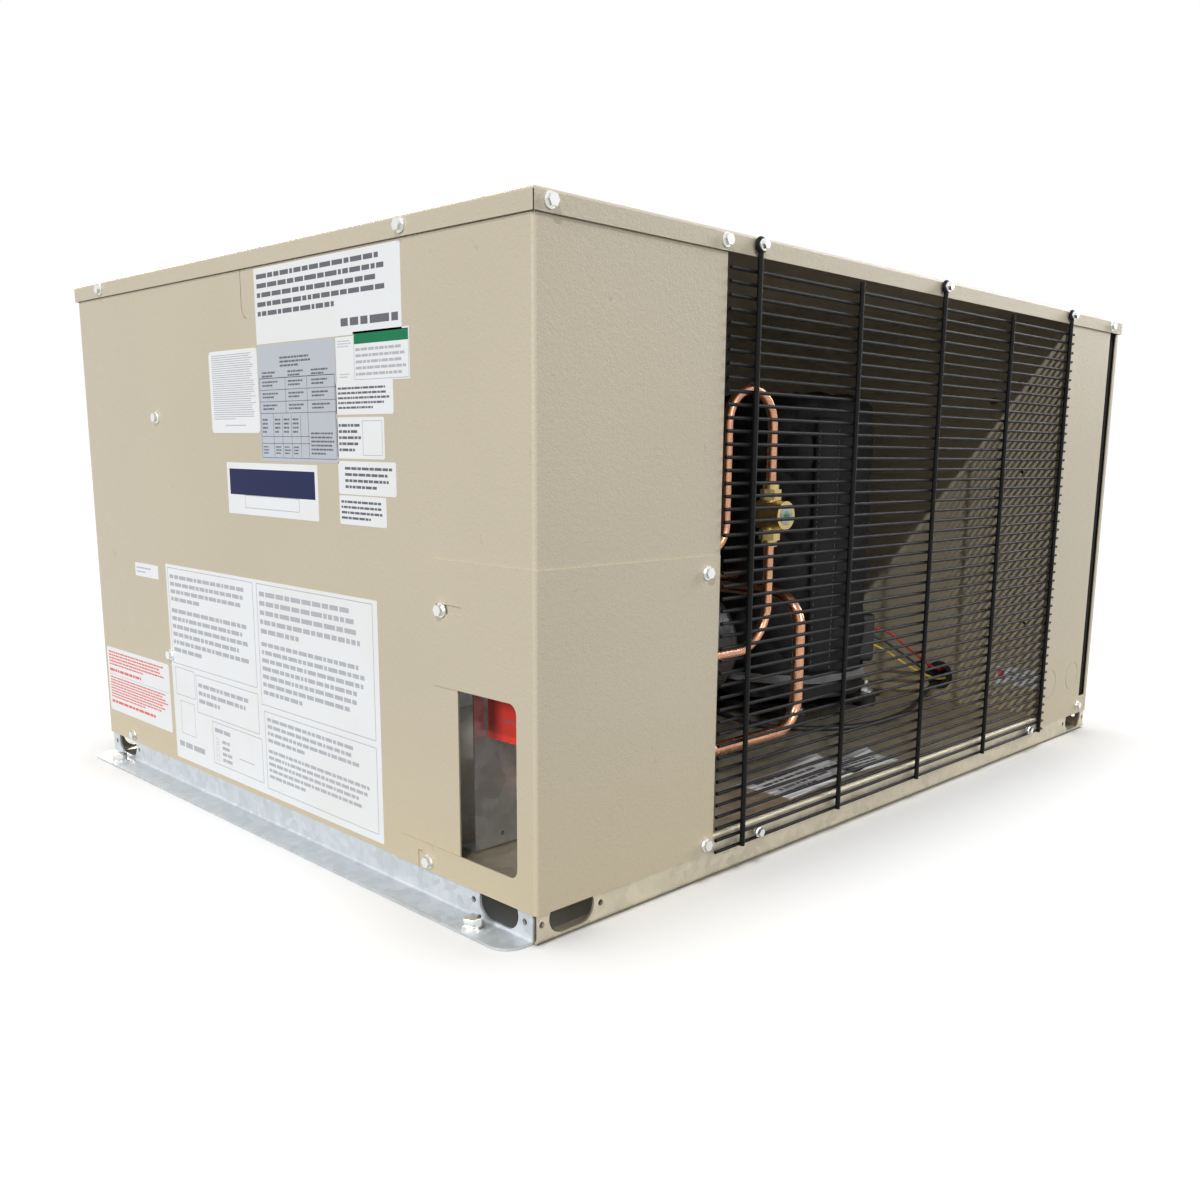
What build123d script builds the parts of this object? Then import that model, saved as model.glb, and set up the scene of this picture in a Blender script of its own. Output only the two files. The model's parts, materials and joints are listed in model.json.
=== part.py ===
from build123d import *
import os
from math import cos, radians, sin

# Air-cooled refrigeration condensing unit in a sheet-steel cabinet.
# Millimetres. +X runs right along the wire-guard side, +Y goes back to the coil,
# +Z is up. The origin is on the ground, in the middle of the four hold-down holes.

# ---------------------------------------------------------------- sizes
# Cabinet
cabinet_w = 960.0
cabinet_d = 748.0
cabinet_h = 514.0
lid_t = 1.2
lid_flange = 15.0
lid_bend = 2.5
lid_seam = 0.8
panel_t = 1.2
panel_inset = 2.0
panel_bend = 3.0
panel_low = 24.0
sheet_gap = 0.3
rear_return = 28.0
slit_from_front = 386.0
slit_l = 29.5
slit_from_top = 14.0
slit_r = 12.0
slit_turn = 70.0

# Base
pan_h = 38.0
pan_t = 2.0
pan_bend = 3.0
pan_return = 12.0
rail_end_gap = 8.0
rail_t = 2.0
rail_bend = 3.0
rail_foot = 25.5
rail_ledge = 25.0
rail_nose_r = 18.0
rail_taper = 13.0
hold_down_d = 11.0
hold_down_from_web = 15.0
hold_down_from_end = 50.0
fork_slot_l = 45.0
fork_slot_h = 26.0
fork_slot_z = 17.0
fork_slot_from_corner_x = 38.0
fork_slot_from_corner_y = 46.0
pilot_d = 5.0
pilot_pitch = 59.0
pilot_drop = 2.0

# Guard opening and wires
guard_from_left = 196.0
guard_wire_d = 3.0
guard_wire_pitch = 10.13
guard_lowest_wire = 22.0
guard_top_gap = 25.5
guard_upright_d = 4.5
guard_upright_count = 5
guard_upright_left_gap = 34.0
guard_upright_right_gap = 6.0
guard_overrun_left = 2.0
guard_overrun_right = 10.0
guard_weld = 0.6
guard_eye_r = 4.6
guard_eye_d = 3.7
guard_eye_drop = 6.5
guard_foot_z = 21.0
guard_short_drop = 18.0

# Corner cover over the piping entry
cover_t = 1.2
cover_top = 270.0
cover_label_reach = 123.0
cover_arm_reach = 173.0
cover_arm_end = 10.0
cover_guard_reach = 195.0
cover_chamfer = 7.0
cover_slot_from_front = 96.5
cover_slot_z = 234.0
cover_slot_l = 33.0
cover_slot_h = 7.0
cover_nick_from_front = 141.0
cover_nick_h = 14.0
cover_nick_w = 5.0
entry_front = 21.0
entry_low = 46.0
entry_high = 175.0
entry_corner_r = 8.0
wrap_cut_y = 89.0
wrap_cut_x = 140.0
wrap_cut_high = 215.0

# Right-hand front
front_panel_w = 122.0
front_panel_return = 20.0
end_gap_w = 15.0
end_gap_low = 46.0
end_return_w = 11.0
knockout_d = 34.0
knockout_line = 0.8
knockout_places = ((26.0, 75.0), (91.0, 77.0))

# Partition between the air side and the controls
partition_t = 1.2
partition_inset = 3.0
partition_flange = 25.0
partition_foot_end = 10.0
grommet_hole_d = 30.0
grommet_from_front = 138.0
grommet_z = 70.0
vent_hole_d = 10.0
vent_hole_from_front = 90.0
vent_hole_drop = 99.0
pilot_hole_d = 4.0
pilot_holes = ((47.0, 331.0), (45.0, 429.0), (216.0, 305.0), (30.0, 150.0))

# Condenser coil
coil_left_gap = 50.0
coil_right_gap = 50.0
coil_back_gap = 28.0
coil_depth = 44.0
coil_foot_h = 12.0
coil_top_h = 12.5
coil_plate_t = 1.5
coil_tube_d = 9.5
coil_tube_pitch = 31.7
coil_tube_edge = 30.0
coil_row_gap = 22.0
coil_bend_out = 6.0

# Fan
fan_from_partition = 395.0
fan_from_coil = 156.0
fan_plate_edge = 34.25
fan_plate_t = 1.2
fan_plate_return = 12.0
fan_tip_gap = 5.0
fan_lip_r = 12.0
fan_ring_depth = 24.0
fan_blades = 4
fan_blade_t = 2.0
fan_root_chord = 70.0
fan_root_pitch = 34.0
fan_tip_chord = 160.0
fan_tip_pitch = 19.0
fan_camber = 0.06
fan_hub_d = 60.0
fan_hub_l = 32.0
fan_hub_ahead = 4.0
motor_d = 127.0
motor_l = 108.0
motor_ahead = 128.0
motor_front_r = 12.0
motor_back_r = 6.0
motor_boss_d = 36.0
motor_boss_l = 6.0
shaft_d = 12.7
shaft_l = 103.0
shaft_past_hub = 6.0
shaft_gap = 0.05
hub_gap = 0.02
band_w = 26.0
arm_w = 18.0
arm_t = 3.0
arm_foot_l = 18.0
arm_past_ring = 16.0
arm_bend = 5.0

# Compressor
comp_from_partition = 175.0
comp_from_front = 262.0
shell_r = 86.0
shell_h = 348.0
shell_dome = 34.0
shell_foot_gap = 6.0
jacket_t = 14.0
jacket_gap = 0.5
jacket_foot_gap = 8.0
jacket_dome = 30.0
jacket_hole_gap = 1.5
strap_rise = 18.0
strap_h = 10.0
strap_t = 1.4
foot_plate_t = 4.0
foot_pitch = 150.0
foot_pad_r = 20.0
foot_ring_r = 47.3
foot_ring_t = 4.3
foot_hole_gap = 0.5
grommet_r = 14.0
grommet_h = 14.0
grommet_bore_gap = 0.3
foot_bolt_d = 8.0
foot_bolt_out = 14.0
foot_washer_r = 11.0
foot_washer_t = 1.6
foot_nut_af = 13.0
foot_nut_h = 7.0
terminal_angle = -37.0
terminal_w = 54.0
terminal_h = 60.0
terminal_rise = 67.0
terminal_out = 110.0
terminal_corner_r = 6.0
terminal_edge_r = 4.0

# Receiver
receiver_r = 57.0
receiver_l = 218.0
receiver_dome = 22.0
receiver_from_left = 170.0
receiver_from_front = 180.0
receiver_rise = 120.0
saddle_w = 22.0
saddle_inset = 50.0
saddle_reach = 90.0
saddle_drop = 28.0
saddle_arch_w = 60.0
saddle_arch_h = 32.0

# Pipes
line_from_front = 90.0
liquid_r = 4.76
suction_r = 6.35
discharge_r = 4.76
liquid_z = 164.0
suction_z = 74.0
loop_left = 309.0
loop_right = 376.0
loop_top = 407.0
suction_leg = 431.0
suction_top = 210.0
suction_bend = 40.0
discharge_z = 330.0
discharge_run = 142.0
condensate_run = 152.0
condensate_from_left = 280.0
stub_from_left = 40.0
stub_from_front = 54.0
stub_root = 20.0
stub_shift = 14.0
stub_wall = 0.9
pipe_gap = 0.2
pipe_hole_gap = 1.5
pipe_bend = 18.0
header_gap = 3.0

# Filter drier and sight glass
drier_z = 262.0
drier_r = 25.0
drier_l = 140.0
drier_from_left = 80.0
drier_neck_r = 7.0
drier_neck_l = 10.0
drier_cone_l = 16.0
drier_pipe_out = 40.0
sight_z = 292.0
sight_half = 30.0
sight_r = 13.5
sight_ahead = 19.0
sight_behind = 12.0
sight_sleeve_t = 3.0
sight_nut_t = 4.0
sight_nut_l = 10.0
sight_nut_inset = 6.0
lens_r = 8.8
lens_t = 2.5
lens_gap = 0.1
lens_proud = 0.5

# Service valves
valve_from_left = 150.0
valve_half = 13.0
valve_h = 30.0
valve_ahead = 11.0
valve_corner_r = 3.0
collar_l = 12.0
collar_t = 1.6
stem_r = 5.0
stem_gap = 0.05
stem_seat = 4.0
stem_square = 6.5
stem_square_l = 8.0
boss_r = 9.0
boss_ahead = 27.0
port_r = 4.0
port_l = 12.0
port_cap_af = 11.0
port_cap_l = 9.0
cap_af = 22.0
cap_l = 16.0
bracket_t = 1.5
bracket_behind = 12.0
bracket_reach = 20.0
bracket_from_left = 27.0
bracket_w = 163.0
bracket_top = 226.75
bracket_holes = (54.0, 180.0)
bracket_hole_z = 49.0

# Controls
control_from_partition = 10.0
control_plate_t = 1.5
control_low = 150.0
control_h = 280.0
control_front = 174.0
control_back = 524.0
seat_gap = 0.1
contactor_from_front = 264.0
contactor_z = 340.0
contactor_out = 55.0
contactor_w = 58.0
contactor_h = 72.0
contactor_cap_h = 50.0
contactor_step = 0.6
armature_w = 26.0
armature_h = 34.0
armature_out = 3.0
armature_travel = 4.0
armature_l = 13.0
slide_gap = 0.3
can_from_front = 374.0
can_low = 230.0
can_h = 85.0
can_r = 25.0
can_edge_r = 3.0
spade_t = 1.6
spade_w = 6.3
spade_l = 9.0
spade_pitch = 16.0
block_from_front = 269.0
block_low = 205.0
block_h = 36.0
block_l = 90.0
block_out = 28.0
block_bays = 3
block_bay_pitch = 28.0
block_bay_w = 22.0
block_bay_depth = 7.0
pressure_from_front = 459.0
pressure_z = 365.0
pressure_w = 90.0
pressure_h = 70.0
pressure_out = 45.0
button_r = 4.0
button_aside = 20.0
button_rise = 5.0
button_out = 6.0
button_travel = 4.0
button_l = 16.0
button_floor_gap = 0.5

# Wiring
wire_r = 1.6
loom_r = 3.0
wire_end_gap = 1.4
terminal_gap = 0.9
grommet_in_r = 12.5
grommet_lip = 3.0
grommet_bead = 2.5

# Screws
screw_washer_d = 11.0
screw_washer_t = 1.2
screw_head_af = 7.9
screw_head_h = 3.6
guard_screw_washer_d = 9.0
guard_screw_head_af = 6.4
guard_screw_shank_r = 1.9
guard_screw_shank_l = 4.4
guard_screw_gap = 0.05
lid_screw_front = 144.0
lid_screw_back = 69.0
lid_screw_corner = 14.0
lid_screw_second = 191.0
lid_screw_end = 32.0
foot_screw_z = 32.0
clamp_from_left = 58.0
clamp_from_right = 30.0

# ---------------------------------------------------------------- derived
half_w = cabinet_w / 2
half_d = cabinet_d / 2
panel_face_x = half_w - panel_inset
panel_face_y = half_d - panel_inset
panel_x = panel_face_x - panel_t / 2
panel_y = panel_face_y - panel_t / 2
panel_high = cabinet_h - lid_t - sheet_gap
base_face_x = panel_face_x - panel_t - sheet_gap
base_face_y = panel_face_y - panel_t - sheet_gap
rail_length = cabinet_d - 2 * rail_end_gap
hold_down_x = 2 * (base_face_x + hold_down_from_web)
hold_down_y = rail_length - 2 * hold_down_from_end
guard_left = guard_from_left - half_w
end_panel_left = half_w - end_return_w
front_panel_right = end_panel_left - end_gap_w
guard_right = front_panel_right - front_panel_w
partition_left = guard_right + partition_inset
partition_right = partition_left + partition_t
cover_x = panel_face_x + sheet_gap / 3 + cover_t / 2
cover_y = panel_face_y + sheet_gap / 3 + cover_t / 2
fork_slot_x = half_w - fork_slot_from_corner_x
fork_slot_y = half_d - fork_slot_from_corner_y
coil_left = coil_left_gap - half_w
coil_right = partition_left - coil_right_gap
coil_back = half_d - coil_back_gap
coil_front = coil_back - coil_depth
coil_low = pan_h + coil_foot_h
coil_high = panel_high - coil_top_h
fan_plate_y = coil_front - fan_from_coil
fan_x = partition_left - fan_from_partition
fan_z = (pan_h + panel_high) / 2
fan_d = panel_high - pan_h - 2 * fan_plate_edge
orifice_r = fan_d / 2 + fan_tip_gap
motor_y = fan_plate_y - motor_ahead
comp_x = partition_left - comp_from_partition
comp_y = comp_from_front - half_d
foot_plate_z = pan_h + grommet_h
shell_low = foot_plate_z + shell_foot_gap
shell_high = shell_low + shell_h
jacket_r = shell_r + jacket_t
jacket_low = shell_low + jacket_foot_gap
jacket_high = shell_high + jacket_t
terminal_z = shell_low + terminal_rise
receiver_left = receiver_from_left - half_w
receiver_right = receiver_left + receiver_l
receiver_y = receiver_from_front - half_d
receiver_z = pan_h + receiver_rise
line_y = line_from_front - half_d
valve_x = valve_from_left - half_w
drier_left = drier_from_left - half_w
drier_right = drier_left + drier_l
loop_left_x = loop_left - half_w
loop_right_x = loop_right - half_w
suction_leg_x = suction_leg - half_w

os.makedirs("parts", exist_ok=True)


def finish(made, label):
    """Name a finished piece and write its STEP file."""
    made.part.label = label
    export_step(made.part, f"parts/{label}.step")


def front_plane(y):
    """A plane facing the front, drawn in X and Z."""
    return Plane(origin=(0, y, 0), x_dir=(1, 0, 0), z_dir=(0, -1, 0))


def side_plane(x):
    """A plane facing right, drawn in Y and Z."""
    return Plane(origin=(x, 0, 0), x_dir=(0, 1, 0), z_dir=(1, 0, 0))


def fork_slot():
    """One lifting slot between two pilot holes, drawn in the current sketch."""
    SlotOverall(fork_slot_l, fork_slot_h)
    with Locations((-pilot_pitch / 2, -pilot_drop), (pilot_pitch / 2, -pilot_drop)):
        Circle(pilot_d / 2)


def tube(points, radius, bend, bore=0.0):
    """A round tube along straight runs joined by bends, open from end to end if it has a bore."""
    with BuildPart() as made:
        with BuildLine() as route:
            FilletPolyline(*points, radius=bend)
        with BuildSketch(Plane(origin=route.line @ 0, z_dir=route.line % 0)):
            Circle(radius)
            if bore:
                Circle(bore, mode=Mode.SUBTRACT)
        sweep(path=route.line)
    return made


# ---------------------------------------------------------------- base
with BuildPart() as base_pan:
    skirt_y = base_face_y - pan_t / 2
    with BuildSketch(Plane.YZ):
        with BuildLine():
            FilletPolyline(
                (pan_return - skirt_y, pan_t / 2),
                (-skirt_y, pan_t / 2),
                (-skirt_y, pan_h - pan_t / 2),
                (skirt_y, pan_h - pan_t / 2),
                (skirt_y, pan_t / 2),
                (skirt_y - pan_return, pan_t / 2),
                radius=pan_bend,
            )
        trace(line_width=pan_t)
    extrude(amount=base_face_x - panel_bend / 2, both=True)
    with BuildSketch(front_plane(base_face_y + 1)):
        with Locations((-fork_slot_x, fork_slot_z), (fork_slot_x, fork_slot_z)):
            fork_slot()
    extrude(amount=cabinet_d, mode=Mode.SUBTRACT)
finish(base_pan, "base_pan")

with BuildPart() as left_foot_rail:
    web_x = base_face_x - rail_t / 2
    ledge_z = pan_h - pan_t - rail_t / 2
    with BuildSketch(front_plane(rail_length / 2)):
        with BuildLine():
            FilletPolyline(
                (-base_face_x - rail_foot, rail_t / 2),
                (-web_x, rail_t / 2),
                (-web_x, ledge_z),
                (-web_x + rail_ledge, ledge_z),
                radius=rail_bend,
            )
        trace(line_width=rail_t)
    extrude(amount=rail_length)
    foot_corners = left_foot_rail.edges().filter_by(Axis.Z).group_by(Axis.X)[0].sort_by(Axis.Y)
    fillet(foot_corners[0], rail_nose_r)
    foot_corners = left_foot_rail.edges().filter_by(Axis.Z).group_by(Axis.X)[0].sort_by(Axis.Y)
    chamfer(foot_corners[-1], rail_taper)
    with BuildSketch(side_plane(-base_face_x - rail_t / 2)):
        with Locations((-fork_slot_y, fork_slot_z), (fork_slot_y, fork_slot_z)):
            fork_slot()
    extrude(amount=2 * rail_t, mode=Mode.SUBTRACT)
    with Locations((-hold_down_x / 2, 0, rail_t)):
        with GridLocations(1, hold_down_y, 1, 2):
            Hole(hold_down_d / 2, depth=rail_t)
finish(left_foot_rail, "left_foot_rail")

with BuildPart() as right_foot_rail:
    with Locations(Rotation(0, 0, 180)):
        add(left_foot_rail.part)
finish(right_foot_rail, "right_foot_rail")

# ---------------------------------------------------------------- cabinet
with BuildPart() as lid:
    with BuildSketch(Plane.XY.offset(cabinet_h - lid_flange)):
        Rectangle(cabinet_w, cabinet_d)
    extrude(amount=lid_flange)
    fillet(lid.edges().group_by(Axis.Z)[-1], lid_bend)
    offset(amount=-lid_t, openings=lid.faces().sort_by(Axis.Z)[0])
    for side_x in (-1, 1):
        for side_y in (-1, 1):
            seam = Location(
                (side_x * half_w, side_y * half_d, cabinet_h - lid_flange),
                (0, 0, 45 * side_x * side_y),
            )
            with Locations(seam):
                Box(4 * lid_bend, lid_seam, 2 * (lid_flange - lid_bend), mode=Mode.SUBTRACT)
finish(lid, "lid")

with BuildPart() as wrap_panel:
    with BuildSketch(Plane.XY.offset(panel_low)):
        with BuildLine():
            FilletPolyline(
                (rear_return - panel_x, panel_y),
                (-panel_x, panel_y),
                (-panel_x, -panel_y),
                (guard_left, -panel_y),
                radius=panel_bend,
            )
        trace(line_width=panel_t)
    extrude(amount=panel_high - panel_low)
    with BuildSketch(Plane.XY.offset(panel_low)):
        with Locations((-half_w, -half_d)):
            Rectangle(wrap_cut_x, wrap_cut_y, align=(Align.MIN, Align.MIN))
    extrude(amount=wrap_cut_high - panel_low, mode=Mode.SUBTRACT)
    slit_y = slit_from_front - half_d
    slit_high = panel_high - slit_from_top
    with BuildSketch(side_plane(-half_w)):
        with BuildLine():
            slit = Line((slit_y, slit_high), (slit_y, slit_high - slit_l))
            JernArc(start=slit @ 1, tangent=slit % 1, radius=slit_r, arc_size=-slit_turn)
        trace(line_width=knockout_line)
    extrude(amount=panel_inset + 2 * panel_t, mode=Mode.SUBTRACT)
finish(wrap_panel, "wrap_panel")

with BuildPart() as piping_cover:
    with BuildSketch(Plane.XY.offset(panel_low)):
        with BuildLine():
            FilletPolyline(
                (-cover_x, cover_arm_reach - half_d),
                (-cover_x, -cover_y),
                (cover_guard_reach - half_w, -cover_y),
                radius=panel_bend,
            )
        trace(line_width=cover_t)
    extrude(amount=cover_top - panel_low)
    before_arm = cover_arm_reach - cover_arm_end
    past_arm = cover_arm_reach + cover_arm_end
    with BuildSketch(side_plane(-half_w)) as entry:
        with BuildLine():
            Polyline(
                (entry_front - half_d, entry_low),
                (before_arm - half_d, entry_low),
                (cover_arm_reach - half_d, entry_low - cover_arm_end),
                (past_arm - half_d, entry_low - cover_arm_end),
                (past_arm - half_d, cover_top + 1),
                (cover_label_reach - cover_chamfer - half_d, cover_top + 1),
                (cover_label_reach - cover_chamfer - half_d, cover_top),
                (cover_label_reach - half_d, cover_top - cover_chamfer),
                (cover_label_reach - half_d, entry_high + cover_chamfer),
                (cover_label_reach - cover_chamfer - half_d, entry_high),
                (entry_front - half_d, entry_high),
                close=True,
            )
        make_face()
        fillet(entry.vertices().group_by(Axis.X)[0], entry_corner_r)
        with Locations((cover_slot_from_front - half_d, cover_slot_z)):
            SlotOverall(cover_slot_l, cover_slot_h)
        nick_y = cover_nick_from_front - half_d
        with BuildLine():
            Polyline(
                (nick_y, panel_low - 1),
                (nick_y, panel_low + cover_nick_h),
                (nick_y - cover_nick_w, panel_low + cover_nick_h),
            )
        trace(line_width=knockout_line)
    extrude(amount=10, both=True, mode=Mode.SUBTRACT)
finish(piping_cover, "piping_cover")

with BuildPart() as right_front_panel:
    with BuildSketch(Plane.XY.offset(panel_low)):
        with BuildLine():
            FilletPolyline(
                (guard_right, -panel_y),
                (front_panel_right - panel_t / 2, -panel_y),
                (front_panel_right - panel_t / 2, front_panel_return - panel_y),
                radius=panel_bend,
            )
        trace(line_width=panel_t)
    extrude(amount=panel_high - panel_low)
    with BuildSketch(front_plane(-panel_face_y + panel_t)):
        with Locations((end_panel_left - sheet_gap, panel_low)):
            Rectangle(
                end_gap_w + panel_bend + panel_t,
                end_gap_low - panel_low,
                align=(Align.MAX, Align.MIN),
            )
    extrude(amount=panel_t)
    with BuildSketch(Plane.XY.offset(panel_low)):
        with Locations((front_panel_right, -panel_face_y + panel_t + seat_gap)):
            Rectangle(
                2 * front_panel_return,
                2 * front_panel_return,
                align=(Align.CENTER, Align.MIN),
            )
    extrude(amount=pan_h + sheet_gap - panel_low, mode=Mode.SUBTRACT)
    with BuildSketch(front_plane(-panel_face_y)):
        with Locations(*[(guard_right + x, z) for x, z in knockout_places]):
            Circle(knockout_d / 2 + knockout_line)
            Circle(knockout_d / 2, mode=Mode.SUBTRACT)
    extrude(amount=-panel_t / 3, mode=Mode.SUBTRACT)
finish(right_front_panel, "right_front_panel")

with BuildPart() as right_end_panel:
    with BuildSketch(Plane.XY.offset(panel_low)):
        with BuildLine():
            FilletPolyline(
                (end_panel_left, -panel_y),
                (panel_x, -panel_y),
                (panel_x, panel_y),
                (partition_left, panel_y),
                radius=panel_bend,
            )
        trace(line_width=panel_t)
    extrude(amount=panel_high - panel_low)
finish(right_end_panel, "right_end_panel")

with BuildPart() as rear_post:
    post_x = -base_face_x + panel_t / 2 + sheet_gap
    post_y = base_face_y - panel_t / 2
    with BuildSketch(Plane.XY.offset(pan_h)):
        with BuildLine():
            FilletPolyline(
                (post_x, coil_front + coil_depth + sheet_gap),
                (post_x, post_y),
                (coil_left - coil_plate_t, post_y),
                radius=panel_bend,
            )
        trace(line_width=panel_t)
    extrude(amount=panel_high - pan_h)
finish(rear_post, "rear_post")

with BuildPart() as partition_panel:
    partition_mid = (partition_left + partition_right) / 2
    grommet_y = grommet_from_front - half_d
    partition_end = base_face_y - partition_t / 2
    with BuildSketch(Plane.XY.offset(pan_h)):
        with BuildLine():
            FilletPolyline(
                (partition_mid + partition_flange, -partition_end),
                (partition_mid, -partition_end),
                (partition_mid, partition_end),
                (partition_mid + partition_flange, partition_end),
                radius=panel_bend,
            )
        trace(line_width=partition_t)
    extrude(amount=panel_high - pan_h)
    with BuildSketch(Plane.XY.offset(pan_h)):
        with Locations((partition_mid, 0)):
            Rectangle(
                partition_flange,
                2 * (partition_end - partition_foot_end),
                align=(Align.MIN, Align.CENTER),
            )
    extrude(amount=partition_t)
    with BuildSketch(side_plane(partition_left - 1)):
        with Locations((grommet_y, grommet_z)):
            Circle(grommet_hole_d / 2)
        with Locations((vent_hole_from_front - half_d, cabinet_h - vent_hole_drop)):
            Circle(vent_hole_d / 2)
        with Locations(*[(y - half_d, z) for y, z in pilot_holes]):
            Circle(pilot_hole_d / 2)
    extrude(amount=partition_t + 2, mode=Mode.SUBTRACT)
finish(partition_panel, "partition_panel")

# ---------------------------------------------------------------- wire guard
guard_wire_y = -panel_face_y - guard_wire_d / 2 - sheet_gap / 3
guard_upright_y = guard_wire_y - (guard_wire_d + guard_upright_d) / 2 + guard_weld
guard_wire_left = guard_left + guard_overrun_left
guard_wire_right = guard_right + guard_overrun_right
guard_wire_room = cabinet_h - guard_top_gap - guard_lowest_wire
guard_wire_count = int(guard_wire_room / guard_wire_pitch) + 1
guard_eye_z = cabinet_h - guard_eye_drop
guard_first_upright = guard_left + guard_upright_left_gap
guard_last_upright = guard_right - guard_upright_right_gap
upright_pitch = (guard_last_upright - guard_first_upright) / (guard_upright_count - 1)
upright_xs = [guard_first_upright + i * upright_pitch for i in range(guard_upright_count)]
with BuildPart() as front_guard:
    with BuildSketch(side_plane(guard_wire_left)):
        with Locations((guard_wire_y, guard_lowest_wire)):
            with Locations(*[(0, i * guard_wire_pitch) for i in range(guard_wire_count)]):
                Circle(guard_wire_d / 2)
    extrude(amount=guard_wire_right - guard_wire_left)
    for i, upright_x in enumerate(upright_xs):
        hooked = i % 2 == 0
        upright_top = guard_eye_z - guard_eye_r if hooked else cabinet_h - guard_short_drop
        with BuildSketch(Plane.XY.offset(guard_foot_z)):
            with Locations((upright_x, guard_upright_y)):
                Circle(guard_upright_d / 2)
        extrude(amount=upright_top - guard_foot_z)
        if hooked:
            with Locations(Location((upright_x, guard_upright_y, guard_eye_z), (90, 0, 0))):
                Torus(guard_eye_r, guard_eye_d / 2)
finish(front_guard, "front_guard")

# ---------------------------------------------------------------- valve compartment
with BuildPart() as valve_bracket:
    bracket_face = line_y + bracket_behind
    bracket_mid = bracket_face + bracket_t / 2
    with BuildSketch(side_plane(bracket_from_left - half_w)):
        with BuildLine():
            FilletPolyline(
                (bracket_face + bracket_reach, bracket_top - bracket_t / 2),
                (bracket_mid, bracket_top - bracket_t / 2),
                (bracket_mid, pan_h + bracket_t / 2),
                (bracket_face + bracket_reach, pan_h + bracket_t / 2),
                radius=panel_bend,
            )
        trace(line_width=bracket_t)
    extrude(amount=bracket_w)
    with BuildSketch(front_plane(bracket_face - 1)):
        with Locations(*[(x - half_w, bracket_hole_z) for x in bracket_holes]):
            Circle(pilot_hole_d / 2)
    extrude(amount=-(bracket_t + 2), mode=Mode.SUBTRACT)
finish(valve_bracket, "valve_bracket")

# ---------------------------------------------------------------- condenser coil
header_x = partition_left - sheet_gap - discharge_r - header_gap
coil_mid_y = (coil_front + coil_back) / 2
row_y = (coil_mid_y - coil_row_gap / 2, coil_mid_y + coil_row_gap / 2)
tube_room = coil_high - coil_low - 2 * coil_tube_edge
tube_rows = int(tube_room / coil_tube_pitch) + 1
tube_z = [coil_low + coil_tube_edge + i * coil_tube_pitch for i in range(tube_rows)]
with BuildPart() as coil_fins:
    with BuildSketch(side_plane(coil_left)):
        with Locations((coil_mid_y, (coil_low + coil_high) / 2)):
            Rectangle(coil_depth, coil_high - coil_low)
    extrude(amount=coil_right - coil_left)
finish(coil_fins, "coil_fins")


def coil_plate(x, outward, reach):
    """A tube sheet folded outward at the front and back of the fins."""
    face = x + outward * coil_plate_t / 2
    with BuildPart() as made:
        with BuildSketch(Plane.XY.offset(pan_h)):
            with BuildLine():
                FilletPolyline(
                    (x + outward * reach, coil_front + coil_plate_t / 2),
                    (face, coil_front + coil_plate_t / 2),
                    (face, coil_back - coil_plate_t / 2),
                    (x + outward * reach, coil_back - coil_plate_t / 2),
                    radius=panel_bend,
                )
            trace(line_width=coil_plate_t)
        extrude(amount=panel_high - pan_h)
    return made


with BuildPart() as coil_end_plates:
    add(coil_plate(coil_left, -1, coil_left + base_face_x - sheet_gap).part)
    add(coil_plate(coil_right, 1, partition_left - sheet_gap - coil_right).part)
    with BuildSketch(front_plane(coil_front - 1)):
        with Locations((header_x, discharge_z), (header_x, tube_z[0])):
            Circle(discharge_r + 3 * pipe_hole_gap)
    extrude(amount=-(coil_plate_t + 2), mode=Mode.SUBTRACT)
finish(coil_end_plates, "coil_end_plates")

with BuildPart() as coil_channels:
    for low, high, web in ((pan_h, coil_low, pan_h), (coil_high, panel_high, panel_high - panel_t)):
        with BuildSketch(side_plane(coil_left)):
            with Locations((coil_mid_y, (low + high) / 2)):
                Rectangle(coil_depth, high - low)
            inner_low = low + panel_t if web == low else low
            with Locations((coil_mid_y, inner_low)):
                Rectangle(
                    coil_depth - 2 * panel_t,
                    high - low - panel_t,
                    align=(Align.CENTER, Align.MIN),
                    mode=Mode.SUBTRACT,
                )
        extrude(amount=coil_right - coil_left)
finish(coil_channels, "coil_channels")

with BuildPart() as coil_return_bends:
    bend_r = coil_row_gap / 2
    for outward, plate_x, heights in (
        (-1, coil_left - coil_plate_t, tube_z),
        (1, coil_right + coil_plate_t, tube_z[1:-1]),
    ):
        bend_x = plate_x + outward * coil_bend_out
        for z in heights:
            with BuildLine():
                Line((plate_x, row_y[0], z), (bend_x, row_y[0], z))
                arc = ThreePointArc(
                    (bend_x, row_y[0], z),
                    (bend_x + outward * bend_r, coil_mid_y, z),
                    (bend_x, row_y[1], z),
                )
                Line(arc @ 1, (plate_x, row_y[1], z))
            with BuildSketch(Plane(origin=(plate_x, row_y[0], z), z_dir=(outward, 0, 0))):
                RegularPolygon(coil_tube_d / 2, 6)
            sweep()
finish(coil_return_bends, "coil_return_bends")

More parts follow.
